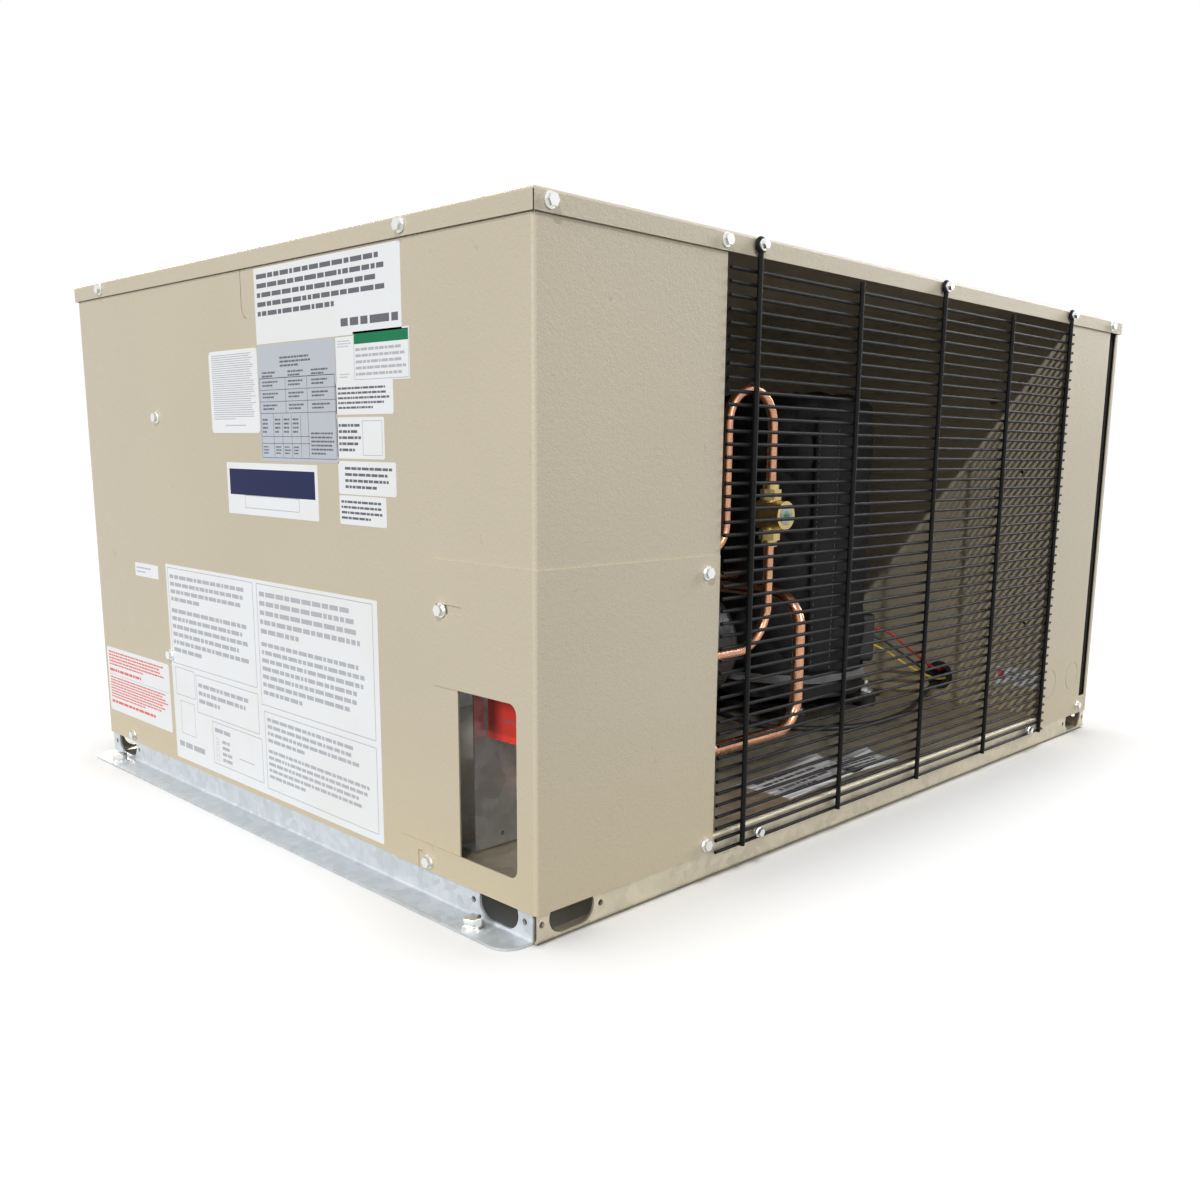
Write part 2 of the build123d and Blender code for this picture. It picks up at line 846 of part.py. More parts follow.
# ---------------------------------------------------------------- fan
fan_plate_left = -base_face_x
fan_plate_right = partition_left - sheet_gap
with BuildPart() as fan_shroud:
    with BuildSketch(front_plane(fan_plate_y)):
        with Locations(((fan_plate_left + fan_plate_right) / 2, (pan_h + panel_high) / 2)):
            Rectangle(fan_plate_right - fan_plate_left, panel_high - pan_h)
        with Locations((fan_x, fan_z)):
            Circle(orifice_r + fan_lip_r, mode=Mode.SUBTRACT)
        with Locations((header_x, discharge_z), (header_x, tube_z[0])):
            Circle(discharge_r + pipe_hole_gap, mode=Mode.SUBTRACT)
    extrude(amount=-fan_plate_t)
    with BuildSketch(side_plane(fan_x)):
        with BuildLine():
            rim = Line(
                (fan_plate_y + fan_plate_t / 2, fan_z + orifice_r + fan_lip_r + 2),
                (fan_plate_y + fan_plate_t / 2, fan_z + orifice_r + fan_lip_r),
            )
            lip = JernArc(start=rim @ 1, tangent=(0, -1), radius=fan_lip_r, arc_size=90)
            Line(lip @ 1, (fan_plate_y + fan_plate_t / 2 + fan_ring_depth, (lip @ 1).Y))
        trace(line_width=fan_plate_t)
    revolve(axis=Axis((fan_x, 0, fan_z), (0, 1, 0)))
    for edge_x, inward in ((fan_plate_left, 1), (fan_plate_right, -1)):
        with BuildSketch(Plane.XY.offset(pan_h)):
            with Locations((edge_x + inward * fan_plate_t / 2, fan_plate_y + fan_plate_t)):
                Rectangle(fan_plate_t, fan_plate_return, align=(Align.CENTER, Align.MAX))
        extrude(amount=panel_high - pan_h)
finish(fan_shroud, "fan_shroud")

fan_hub_y = fan_plate_y - fan_hub_ahead
shaft_front = fan_hub_y + fan_hub_l + shaft_past_hub - shaft_l
with BuildPart() as fan_motor:
    with BuildSketch(front_plane(motor_y + motor_l)):
        with Locations((fan_x, fan_z)):
            Circle(motor_d / 2)
    extrude(amount=motor_l)
    fillet(fan_motor.edges().group_by(Axis.Y)[0], motor_front_r)
    fillet(fan_motor.edges().group_by(Axis.Y)[-1], motor_back_r)
    with BuildSketch(front_plane(motor_y + motor_l)):
        with Locations((fan_x, fan_z)):
            Circle(motor_boss_d / 2)
    extrude(amount=-motor_boss_l)
    with BuildSketch(front_plane(shaft_front - 1)):
        with Locations((fan_x, fan_z)):
            Circle(shaft_d / 2 + shaft_gap)
    extrude(amount=-shaft_l, mode=Mode.SUBTRACT)
finish(fan_motor, "fan_motor")

with BuildPart() as fan_shaft:
    with BuildSketch(front_plane(shaft_front)):
        with Locations((fan_x, fan_z)):
            Circle(shaft_d / 2)
    extrude(amount=-shaft_l)
finish(fan_shaft, "fan_shaft")

with BuildPart() as fan_bracket:
    band_inner = motor_d / 2 + sheet_gap / 3
    band_y = motor_y + motor_l / 2
    with BuildSketch(front_plane(band_y + band_w / 2)):
        with Locations((fan_x, fan_z)):
            Circle(band_inner + arm_t)
            Circle(band_inner, mode=Mode.SUBTRACT)
    extrude(amount=band_w)
    arm_root = band_inner + arm_t / 2
    arm_reach = orifice_r + fan_lip_r + arm_past_ring
    for i in range(4):
        turn = radians(45 + 90 * i)
        arm_plane = Plane(
            origin=(fan_x, 0, fan_z),
            x_dir=(cos(turn), 0, sin(turn)),
            z_dir=(-sin(turn), 0, cos(turn)),
        )
        # local x runs out along the radius, local y runs back along the shaft
        side = 1 if (arm_plane.y_dir.Y > 0) else -1
        with BuildSketch(arm_plane.offset(-arm_w / 2)):
            with BuildLine():
                FilletPolyline(
                    (arm_root, side * band_y),
                    (arm_reach, side * band_y),
                    (arm_reach, side * (fan_plate_y - arm_t / 2)),
                    (arm_reach + arm_foot_l, side * (fan_plate_y - arm_t / 2)),
                    radius=arm_bend,
                )
            trace(line_width=arm_t)
        extrude(amount=arm_w)
finish(fan_bracket, "fan_bracket")

with BuildPart() as one_blade:
    for radius, chord, pitch in (
        (fan_hub_d / 2 - 2 * fan_blade_t, fan_root_chord, fan_root_pitch),
        (fan_d / 2 + 7 * fan_blade_t, fan_tip_chord, fan_tip_pitch),
    ):
        station = Plane(
            origin=(fan_x, fan_hub_y + fan_hub_l / 2, fan_z + radius),
            x_dir=(cos(radians(pitch)), sin(radians(pitch)), 0),
            z_dir=(0, 0, 1),
        )
        with BuildSketch(station):
            with BuildLine():
                camber = chord * fan_camber
                ThreePointArc((-chord / 2, 0), (0, camber), (chord / 2, 0))
            trace(line_width=fan_blade_t)
    loft()

with BuildPart() as fan_blade:
    with BuildSketch(front_plane(fan_hub_y + fan_hub_l)):
        with Locations((fan_x, fan_z)):
            Circle(fan_hub_d / 2)
            Circle(shaft_d / 2 + hub_gap, mode=Mode.SUBTRACT)
    extrude(amount=fan_hub_l)
    for i in range(fan_blades):
        add(one_blade.part.rotate(Axis((fan_x, 0, fan_z), (0, 1, 0)), 360 / fan_blades * i))
    with BuildSketch(front_plane(fan_hub_y + 2 * fan_hub_l)):
        with Locations((fan_x, fan_z)):
            Circle(fan_d / 2)
            Circle(shaft_d / 2 + hub_gap, mode=Mode.SUBTRACT)
    extrude(amount=3 * fan_hub_l, mode=Mode.INTERSECT)
finish(fan_blade, "fan_blade")

# ---------------------------------------------------------------- compressor
with BuildPart() as compressor_shell:
    with BuildSketch(Plane.XY.offset(shell_low)):
        with Locations((comp_x, comp_y)):
            Circle(shell_r)
    extrude(amount=shell_high - shell_low)
    fillet(compressor_shell.edges().group_by(Axis.Z)[-1], shell_dome)
    fillet(compressor_shell.edges().group_by(Axis.Z)[0], shell_dome / 2)
finish(compressor_shell, "compressor_shell")

with BuildPart() as compressor_feet:
    with BuildSketch(Plane.XY.offset(foot_plate_z)):
        with Locations((comp_x, comp_y)):
            with GridLocations(foot_pitch, foot_pitch, 2, 2):
                Circle(foot_pad_r)
        make_hull()
        with Locations((comp_x, comp_y)):
            with GridLocations(foot_pitch, foot_pitch, 2, 2):
                Circle(foot_bolt_d / 2 + foot_hole_gap, mode=Mode.SUBTRACT)
    extrude(amount=foot_plate_t)
    with BuildSketch(Plane.XY.offset(foot_plate_z + foot_plate_t)):
        with Locations((comp_x, comp_y)):
            Circle(foot_ring_r)
            Circle(foot_ring_r - foot_ring_t, mode=Mode.SUBTRACT)
    extrude(amount=shell_low - foot_plate_z - foot_plate_t)
finish(compressor_feet, "compressor_feet")

with BuildPart() as compressor_grommets:
    with BuildSketch(Plane.XY.offset(pan_h)):
        with Locations((comp_x, comp_y)):
            with GridLocations(foot_pitch, foot_pitch, 2, 2):
                Circle(grommet_r)
                Circle(foot_bolt_d / 2 + grommet_bore_gap, mode=Mode.SUBTRACT)
    extrude(amount=foot_plate_z - pan_h)
finish(compressor_grommets, "compressor_grommets")

with BuildPart() as compressor_bolts:
    bolt_seat = foot_plate_z + foot_plate_t
    with BuildSketch(Plane.XY.offset(pan_h)):
        with Locations((comp_x, comp_y)):
            with GridLocations(foot_pitch, foot_pitch, 2, 2):
                Circle(foot_bolt_d / 2)
    extrude(amount=bolt_seat - pan_h + foot_bolt_out)
    with BuildSketch(Plane.XY.offset(bolt_seat)):
        with Locations((comp_x, comp_y)):
            with GridLocations(foot_pitch, foot_pitch, 2, 2):
                Circle(foot_washer_r)
    extrude(amount=foot_washer_t)
    with BuildSketch(Plane.XY.offset(bolt_seat + foot_washer_t)):
        with Locations((comp_x, comp_y)):
            with GridLocations(foot_pitch, foot_pitch, 2, 2):
                RegularPolygon(foot_nut_af / 2, 6, major_radius=False)
    extrude(amount=foot_nut_h)
finish(compressor_bolts, "compressor_bolts")

terminal_plane = Plane(
    origin=(comp_x, comp_y, terminal_z),
    x_dir=(-sin(radians(terminal_angle)), cos(radians(terminal_angle)), 0),
    z_dir=(cos(radians(terminal_angle)), sin(radians(terminal_angle)), 0),
)
with BuildPart() as terminal_cover:
    outward = Axis(terminal_plane.origin, terminal_plane.z_dir)
    with BuildSketch(terminal_plane.offset(shell_r / 2)):
        RectangleRounded(terminal_w, terminal_h, terminal_corner_r)
    extrude(amount=terminal_out - shell_r / 2)
    fillet(terminal_cover.faces().sort_by(outward)[-1].edges(), terminal_edge_r)
    with Locations((comp_x, comp_y, terminal_z - terminal_h)):
        Cylinder(
            shell_r + pipe_gap,
            2 * terminal_h,
            align=(Align.CENTER, Align.CENTER, Align.MIN),
            mode=Mode.SUBTRACT,
        )
finish(terminal_cover, "terminal_cover")

with BuildPart() as jacket_hollow:
    with BuildSketch(Plane.XY.offset(jacket_low - 1)):
        with Locations((comp_x, comp_y)):
            Circle(shell_r + jacket_gap)
    extrude(amount=shell_high + jacket_gap - jacket_low + 1)
    fillet(jacket_hollow.edges().group_by(Axis.Z)[-1], shell_dome)

with BuildPart() as compressor_jacket:
    with BuildSketch(Plane.XY.offset(jacket_low)):
        with Locations((comp_x, comp_y)):
            Circle(jacket_r)
    extrude(amount=jacket_high - jacket_low)
    fillet(compressor_jacket.edges().group_by(Axis.Z)[-1], jacket_dome)
    add(jacket_hollow.part, mode=Mode.SUBTRACT)
    with BuildSketch(terminal_plane.offset(shell_r / 2)):
        RectangleRounded(
            terminal_w + 2 * jacket_hole_gap,
            terminal_h + 2 * jacket_hole_gap,
            terminal_corner_r + jacket_hole_gap,
        )
    extrude(amount=jacket_r, mode=Mode.SUBTRACT)
    with BuildSketch(side_plane(comp_x)):
        with Locations((comp_y, suction_top)):
            Circle(suction_r + jacket_hole_gap)
    extrude(amount=-2 * jacket_r, mode=Mode.SUBTRACT)
    with BuildSketch(front_plane(comp_y)):
        with Locations((comp_x, discharge_z)):
            Circle(discharge_r + jacket_hole_gap)
    extrude(amount=-2 * jacket_r, mode=Mode.SUBTRACT)
finish(compressor_jacket, "compressor_jacket")

with BuildPart() as jacket_strap:
    with BuildSketch(Plane.XY.offset(jacket_low + strap_rise)):
        with Locations((comp_x, comp_y)):
            Circle(jacket_r + seat_gap + strap_t)
            Circle(jacket_r + seat_gap, mode=Mode.SUBTRACT)
    extrude(amount=strap_h)
finish(jacket_strap, "jacket_strap")

# ---------------------------------------------------------------- receiver
with BuildPart() as receiver:
    with BuildSketch(side_plane(receiver_left)):
        with Locations((receiver_y, receiver_z)):
            Circle(receiver_r)
    extrude(amount=receiver_right - receiver_left)
    fillet(receiver.edges().group_by(Axis.X)[0], receiver_dome)
    fillet(receiver.edges().group_by(Axis.X)[-1], receiver_dome)
finish(receiver, "receiver")

with BuildPart() as receiver_saddles:
    saddle_h = receiver_z - saddle_drop - pan_h
    for x in (receiver_left + saddle_inset, receiver_right - saddle_inset):
        with BuildSketch(side_plane(x - saddle_w / 2)):
            with Locations((receiver_y, pan_h)):
                Rectangle(saddle_reach, saddle_h, align=(Align.CENTER, Align.MIN))
            with Locations((receiver_y, receiver_z)):
                Circle(receiver_r + sheet_gap, mode=Mode.SUBTRACT)
            with Locations((receiver_y, pan_h)):
                Rectangle(
                    saddle_arch_w,
                    saddle_arch_h,
                    align=(Align.CENTER, Align.MIN),
                    mode=Mode.SUBTRACT,
                )
        extrude(amount=saddle_w)
finish(receiver_saddles, "receiver_saddles")

# ---------------------------------------------------------------- pipes
shell_gap = shell_r + pipe_gap
valve_right = valve_x + valve_half + collar_l + pipe_gap
plate_out = coil_right + coil_plate_t + pipe_gap

liquid_line = tube(
    (
        (drier_right + pipe_gap, line_y, drier_z),
        (loop_left_x, line_y, drier_z),
        (loop_left_x, line_y, loop_top),
        (loop_right_x, line_y, loop_top),
        (loop_right_x, line_y, sight_z + sight_half + pipe_gap),
    ),
    liquid_r,
    (24.0, 33.0, 33.0),
)
finish(liquid_line, "liquid_line")

liquid_outlet_line = tube(
    (
        (loop_right_x, line_y, sight_z - sight_half - pipe_gap),
        (loop_right_x, line_y, liquid_z),
        (valve_right, line_y, liquid_z),
    ),
    liquid_r,
    45.0,
)
finish(liquid_outlet_line, "liquid_outlet_line")

suction_line = tube(
    (
        (valve_right, line_y, suction_z),
        (suction_leg_x, line_y, suction_z),
        (suction_leg_x, line_y, suction_top),
        (suction_leg_x, comp_y, suction_top),
        (comp_x - shell_gap, comp_y, suction_top),
    ),
    suction_r,
    (34.0, 34.0, min(suction_bend, comp_x - shell_gap - suction_leg_x - 1)),
)
finish(suction_line, "suction_line")

discharge_y = comp_y + discharge_run
discharge_line = tube(
    (
        (comp_x, comp_y + shell_gap, discharge_z),
        (comp_x, discharge_y, discharge_z),
        (header_x, discharge_y, discharge_z),
        (header_x, row_y[0], discharge_z),
        (header_x, row_y[0], tube_z[-1]),
        (plate_out, row_y[0], tube_z[-1]),
    ),
    discharge_r,
    pipe_bend,
)
finish(discharge_line, "discharge_line")

condensate_x = condensate_from_left - half_w
condensate_y = comp_y + condensate_run
condensate_line = tube(
    (
        (plate_out, row_y[1], tube_z[0]),
        (header_x, row_y[1], tube_z[0]),
        (header_x, condensate_y, tube_z[0]),
        (condensate_x, condensate_y, tube_z[0]),
        (condensate_x, condensate_y, receiver_z),
        (condensate_x, receiver_y + receiver_r + pipe_gap, receiver_z),
    ),
    liquid_r,
    pipe_bend,
)
finish(condensate_line, "condensate_line")

receiver_outlet_line = tube(
    (
        (receiver_left - pipe_gap, receiver_y, receiver_z),
        (drier_left - drier_pipe_out, receiver_y, receiver_z),
        (drier_left - drier_pipe_out, receiver_y, drier_z),
        (drier_left - drier_pipe_out, line_y, drier_z),
        (drier_left - pipe_gap, line_y, drier_z),
    ),
    liquid_r,
    pipe_bend,
)
finish(receiver_outlet_line, "receiver_outlet_line")

with BuildPart() as filter_drier:
    with BuildSketch(front_plane(line_y)):
        with BuildLine():
            Polyline(
                (drier_left, drier_z),
                (drier_left, drier_z + drier_neck_r),
                (drier_left + drier_neck_l, drier_z + drier_neck_r),
                (drier_left + drier_neck_l + drier_cone_l, drier_z + drier_r),
                (drier_right - drier_neck_l - drier_cone_l, drier_z + drier_r),
                (drier_right - drier_neck_l, drier_z + drier_neck_r),
                (drier_right, drier_z + drier_neck_r),
                (drier_right, drier_z),
                close=True,
            )
        make_face()
    revolve(axis=Axis((0, line_y, drier_z), (1, 0, 0)))
finish(filter_drier, "filter_drier")

sight_front = line_y - sight_ahead
sight_low = sight_z - sight_half
sight_high = sight_z + sight_half
with BuildPart() as sight_glass:
    with BuildSketch(Plane.XY.offset(sight_low)):
        with Locations((loop_right_x, line_y)):
            Circle(liquid_r + sight_sleeve_t)
    extrude(amount=2 * sight_half)
    with BuildSketch(front_plane(line_y + sight_behind)):
        with Locations((loop_right_x, sight_z)):
            Circle(sight_r)
    extrude(amount=sight_behind + sight_ahead)
    for z in (sight_low + sight_nut_inset, sight_high - sight_nut_inset - sight_nut_l):
        with BuildSketch(Plane.XY.offset(z)):
            with Locations((loop_right_x, line_y)):
                RegularPolygon(liquid_r + sight_nut_t, 6, major_radius=False)
        extrude(amount=sight_nut_l)
    with BuildSketch(front_plane(sight_front)):
        with Locations((loop_right_x, sight_z)):
            Circle(lens_r + lens_gap)
    extrude(amount=-(lens_t - lens_proud + lens_gap), mode=Mode.SUBTRACT)
finish(sight_glass, "sight_glass")

with BuildPart() as sight_glass_lens:
    with BuildSketch(front_plane(sight_front - lens_proud)):
        with Locations((loop_right_x, sight_z)):
            Circle(lens_r)
    extrude(amount=-lens_t)
finish(sight_glass_lens, "sight_glass_lens")

# ---------------------------------------------------------------- service valves
valve_back = bracket_face - seat_gap
valve_front = line_y - valve_ahead
boss_front = line_y - boss_ahead
stem_back = line_y - stem_seat
stem_front = boss_front - stem_square_l


def service_valve(z, line_r):
    """A quarter-turn service valve: block, pipe collars, stem boss and access port."""
    with BuildPart() as made:
        with BuildSketch(front_plane(valve_back)):
            with Locations((valve_x, z)):
                RectangleRounded(2 * valve_half, valve_h, valve_corner_r)
        extrude(amount=valve_back - valve_front)
        with BuildSketch(side_plane(valve_x - valve_half - collar_l)):
            with Locations((line_y, z)):
                Circle(line_r + collar_t)
        extrude(amount=2 * (valve_half + collar_l))
        with BuildSketch(front_plane(valve_front)):
            with Locations((valve_x, z)):
                Circle(boss_r)
        extrude(amount=valve_front - boss_front)
        with BuildSketch(Plane.XY.offset(z + valve_h / 2)):
            with Locations((valve_x, line_y)):
                Circle(port_r)
        extrude(amount=port_l)
        with BuildSketch(Plane.XY.offset(z + valve_h / 2 + port_l)):
            with Locations((valve_x, line_y)):
                RegularPolygon(port_cap_af / 2, 6, major_radius=False)
        extrude(amount=port_cap_l)
        with BuildSketch(front_plane(boss_front - 1)):
            with Locations((valve_x, z)):
                Circle(stem_r + stem_gap)
        extrude(amount=-(stem_back - boss_front + 2), mode=Mode.SUBTRACT)
    return made


def valve_stem(z):
    """A round stem with a square wrench end."""
    with BuildPart() as made:
        with BuildSketch(front_plane(stem_back)):
            with Locations((valve_x, z)):
                Circle(stem_r)
        extrude(amount=stem_back - boss_front)
        with BuildSketch(front_plane(boss_front)):
            with Locations((valve_x, z)):
                Rectangle(stem_square, stem_square)
        extrude(amount=boss_front - stem_front)
    return made


stub_end = stub_from_left - half_w
valve_left = valve_x - valve_half - collar_l - pipe_gap
stub_y = stub_from_front - half_d
with BuildPart() as line_stubs:
    for z, aim_z, line_r in (
        (liquid_z, liquid_z - stub_shift, liquid_r),
        (suction_z, suction_z + stub_shift, suction_r),
    ):
        stub = tube(
            (
                (valve_left, line_y, z),
                (valve_left - stub_root, line_y, z),
                (valve_left - 2 * stub_root, stub_y, aim_z),
                (stub_end, stub_y, aim_z),
            ),
            line_r,
            pipe_bend,
            line_r - stub_wall,
        )
        add(stub.part)
finish(line_stubs, "line_stubs")

finish(service_valve(liquid_z, liquid_r), "liquid_valve")
finish(service_valve(suction_z, suction_r), "suction_valve")
finish(valve_stem(liquid_z), "liquid_valve_stem")
finish(valve_stem(suction_z), "suction_valve_stem")

with BuildPart() as valve_caps:
    with BuildSketch(front_plane(boss_front - seat_gap)):
        with Locations((valve_x, liquid_z), (valve_x, suction_z)):
            RegularPolygon(cap_af / 2, 6, major_radius=False)
    extrude(amount=cap_l)
    with BuildSketch(front_plane(boss_front)):
        with Locations((valve_x, liquid_z), (valve_x, suction_z)):
            Circle(stem_r + 1)
    extrude(amount=boss_front - stem_front + 1, mode=Mode.SUBTRACT)
finish(valve_caps, "valve_caps")

# ---------------------------------------------------------------- controls
plate_x = partition_right + control_from_partition
seat_x = plate_x + control_plate_t / 2 + seat_gap
with BuildPart() as control_plate:
    with BuildSketch(Plane.XY.offset(control_low)):
        with BuildLine():
            FilletPolyline(
                (partition_right + sheet_gap, control_front - half_d),
                (plate_x, control_front - half_d),
                (plate_x, control_back - half_d),
                (partition_right + sheet_gap, control_back - half_d),
                radius=panel_bend,
            )
        trace(line_width=control_plate_t)
    extrude(amount=control_h)
finish(control_plate, "control_plate")

contactor_y = contactor_from_front - half_d
contactor_face = seat_x + contactor_out
with BuildPart() as contactor:
    with BuildSketch(side_plane(seat_x)):
        with Locations((contactor_y, contactor_z)):
            RectangleRounded(contactor_w, contactor_h, 3)
    extrude(amount=contactor_out * contactor_step)
    with BuildSketch(side_plane(contactor_face)):
        with Locations((contactor_y, contactor_z)):
            RectangleRounded(contactor_w, contactor_cap_h, 3)
    extrude(amount=-contactor_out * (1 - contactor_step))
    with BuildSketch(side_plane(contactor_face)):
        with Locations((contactor_y, contactor_z)):
            Rectangle(armature_w + 2 * slide_gap, armature_h + 2 * slide_gap)
    extrude(amount=-(armature_l + armature_travel), mode=Mode.SUBTRACT)
finish(contactor, "contactor")

with BuildPart() as contactor_armature:
    with BuildSketch(side_plane(contactor_face + armature_out)):
        with Locations((contactor_y, contactor_z)):
            RectangleRounded(armature_w, armature_h, 2)
    extrude(amount=-armature_l)
finish(contactor_armature, "contactor_armature")

with BuildPart() as run_capacitor:
    can_x = seat_x + can_r + seat_gap
    can_y = can_from_front - half_d
    with BuildSketch(Plane.XY.offset(can_low)):
        with Locations((can_x, can_y)):
            Circle(can_r)
    extrude(amount=can_h)
    fillet(run_capacitor.edges().group_by(Axis.Z)[-1], can_edge_r)
    with BuildSketch(Plane.XY.offset(can_low + can_h)):
        with Locations((can_x - spade_pitch / 2, can_y), (can_x + spade_pitch / 2, can_y)):
            Rectangle(spade_t, spade_w)
    extrude(amount=spade_l)
finish(run_capacitor, "run_capacitor")

block_y = block_from_front - half_d
with BuildPart() as terminal_block:
    with BuildSketch(Plane.XY.offset(block_low)):
        with Locations((seat_x, block_y)):
            Rectangle(block_out, block_l, align=(Align.MIN, Align.CENTER))
        with Locations((seat_x + block_out, block_y)):
            with GridLocations(block_out, block_bay_pitch, 1, block_bays):
                Rectangle(2 * block_bay_depth, block_bay_w, mode=Mode.SUBTRACT)
    extrude(amount=block_h)
finish(terminal_block, "terminal_block")

pressure_y = pressure_from_front - half_d
pressure_face = seat_x + pressure_out
button_y = pressure_y + button_aside
button_z = pressure_z + button_rise
with BuildPart() as pressure_control:
    with BuildSketch(side_plane(seat_x)):
        with Locations((pressure_y, pressure_z)):
            RectangleRounded(pressure_w, pressure_h, 4)
    extrude(amount=pressure_out)
    with BuildSketch(side_plane(pressure_face)):
        with Locations((button_y, button_z)):
            Circle(button_r + shaft_gap)
    extrude(
        amount=-(button_l - button_out + button_travel + button_floor_gap),
        mode=Mode.SUBTRACT,
    )
finish(pressure_control, "pressure_control")

with BuildPart() as reset_button:
    with BuildSketch(side_plane(pressure_face + button_out - button_l)):
        with Locations((button_y, button_z)):
            Circle(button_r)
    extrude(amount=button_l)
finish(reset_button, "reset_button")

# ---------------------------------------------------------------- wiring
with BuildPart() as harness_grommet:
    grommet_out = grommet_hole_d / 2 + grommet_lip
    with BuildSketch(side_plane(partition_left - grommet_bead)):
        with Locations((grommet_y, grommet_z)):
            Circle(grommet_out)
            Circle(grommet_in_r, mode=Mode.SUBTRACT)
    extrude(amount=partition_t + 2 * grommet_bead)
    with BuildSketch(side_plane(partition_left - seat_gap)):
        with Locations((grommet_y, grommet_z)):
            Circle(grommet_out + 1)
            Circle(grommet_hole_d / 2 - seat_gap, mode=Mode.SUBTRACT)
    extrude(amount=partition_t + 2 * seat_gap, mode=Mode.SUBTRACT)
finish(harness_grommet, "harness_grommet")


def wire(points, radius):
    """A wire along straight runs joined by tangent arcs, each as large as its runs allow."""
    route = [Vector(*p) for p in points]
    bends = []
    for before, here, after in zip(route, route[1:], route[2:]):
        run_in = here - before
        run_out = after - here
        half_turn = radians(run_in.get_angle(run_out)) / 2
        shorter = min(run_in.length, run_out.length)
        bends.append(0.45 * shorter * cos(half_turn) / sin(half_turn))
    print("wire bend radii", [round(b) for b in bends])
    return tube(points, radius, bends)


def bay(x, y, z):
    """A point measured from the partition's left face, the cabinet's front and the ground."""
    return (partition_left + x, y - half_d, z)


wire_end_z = block_low - wire_end_gap
lead_x = comp_x + (terminal_out + terminal_gap) * cos(radians(terminal_angle))
lead_y = comp_y + (terminal_out + terminal_gap) * sin(radians(terminal_angle))

red_wire = wire(
    (
        (lead_x, lead_y, terminal_z + 10),
        bay(-67, 179, 130),
        bay(-41, 163, 107),
        bay(-11, 142, 79),
        bay(21, 136, 74),
        bay(43, 152, 98),
        bay(45, 178, 136),
        bay(37, 214, 172),
        bay(27, 246, wire_end_z),
    ),
    wire_r,
)
finish(red_wire, "red_wire")

yellow_wire = wire(
    (
        (lead_x, lead_y, terminal_z - 10),
        bay(-69, 181, 106),
        bay(-45, 160, 84),
        bay(-15, 137, 66),
        bay(19, 131, 65),
        bay(51, 142, 90),
        bay(59, 170, 130),
        bay(53, 208, 168),
        bay(31, 233, wire_end_z),
    ),
    wire_r,
)
finish(yellow_wire, "yellow_wire")

black_wire = wire(
    (
        (lead_x, lead_y, terminal_z),
        bay(-69, 183, 118),
        bay(-43, 166, 97),
        bay(-13, 144, 71),
        bay(17, 140, 67),
        bay(47, 158, 88),
        bay(51, 184, 128),
        bay(45, 224, 166),
        bay(29, 262, wire_end_z),
    ),
    wire_r,
)
finish(black_wire, "black_wire")

floor_z = pan_h + loom_r + sheet_gap
fan_lead = wire(
    (
        (fan_x, motor_y + 17, fan_z - motor_d / 2 - wire_end_gap),
        (fan_x + 2, motor_y + 4, 185),
        (fan_x + 12, motor_y - 26, 150),
        (fan_x + 36, motor_y - 58, 110),
        bay(-333, 298, 74),
        bay(-313, 252, floor_z + 8),
        bay(-301, 204, floor_z),
        bay(-279, 160, floor_z),
        bay(-239, 128, floor_z),
        bay(-189, 114, floor_z),
        bay(-135, 117, floor_z),
        bay(-87, 125, floor_z + 1),
        bay(-45, 134, 52),
        bay(-15, 139, 60),
        bay(17, 141, 62.5),
        bay(43, 160, 80),
        bay(57, 190, 116),
        bay(55, 226, 154),
        bay(43, 262, 184),
        bay(29, 288, wire_end_z - wire_end_gap),
    ),
    loom_r,
)
finish(fan_lead, "fan_lead")

# ---------------------------------------------------------------- screws
guard_face_y = guard_wire_y - guard_wire_d / 2
lid_screw_z = cabinet_h - lid_flange / 2


def facing(x, y, z, outward):
    """A seat for a screw head, looking along the outward direction."""
    return Plane(origin=(x, y, z), x_dir=(-outward[1], outward[0], 0), z_dir=outward)


def screws(seats, washer_d=screw_washer_d, head_af=screw_head_af, shank_l=0.0):
    """Hex-washer screw heads standing on their seats, with what shows of their shanks."""
    with BuildPart() as made:
        for seat in seats:
            with BuildSketch(seat):
                Circle(washer_d / 2)
            extrude(amount=screw_washer_t)
            with BuildSketch(seat.offset(screw_washer_t)):
                RegularPolygon(head_af / 2, 6, major_radius=False)
            extrude(amount=screw_head_h)
            if shank_l:
                with BuildSketch(seat):
                    Circle(guard_screw_shank_r)
                extrude(amount=-shank_l)
    return made


left = (-1, 0, 0)
right = (1, 0, 0)
front = (0, -1, 0)
back = (0, 1, 0)
lid_ys = (lid_screw_front - half_d, half_d - lid_screw_back)
lid_seats = [facing(-half_w, y, lid_screw_z, left) for y in lid_ys]
lid_seats += [facing(half_w, y, lid_screw_z, right) for y in lid_ys]
front_xs = (lid_screw_corner - half_w, lid_screw_second - half_w, half_w - lid_screw_end)
lid_seats += [facing(x, -half_d, lid_screw_z, front) for x in front_xs]
back_xs = (lid_screw_end - half_w, 0, half_w - lid_screw_end)
lid_seats += [facing(x, half_d, lid_screw_z, back) for x in back_xs]
finish(screws(lid_seats), "lid_screws")

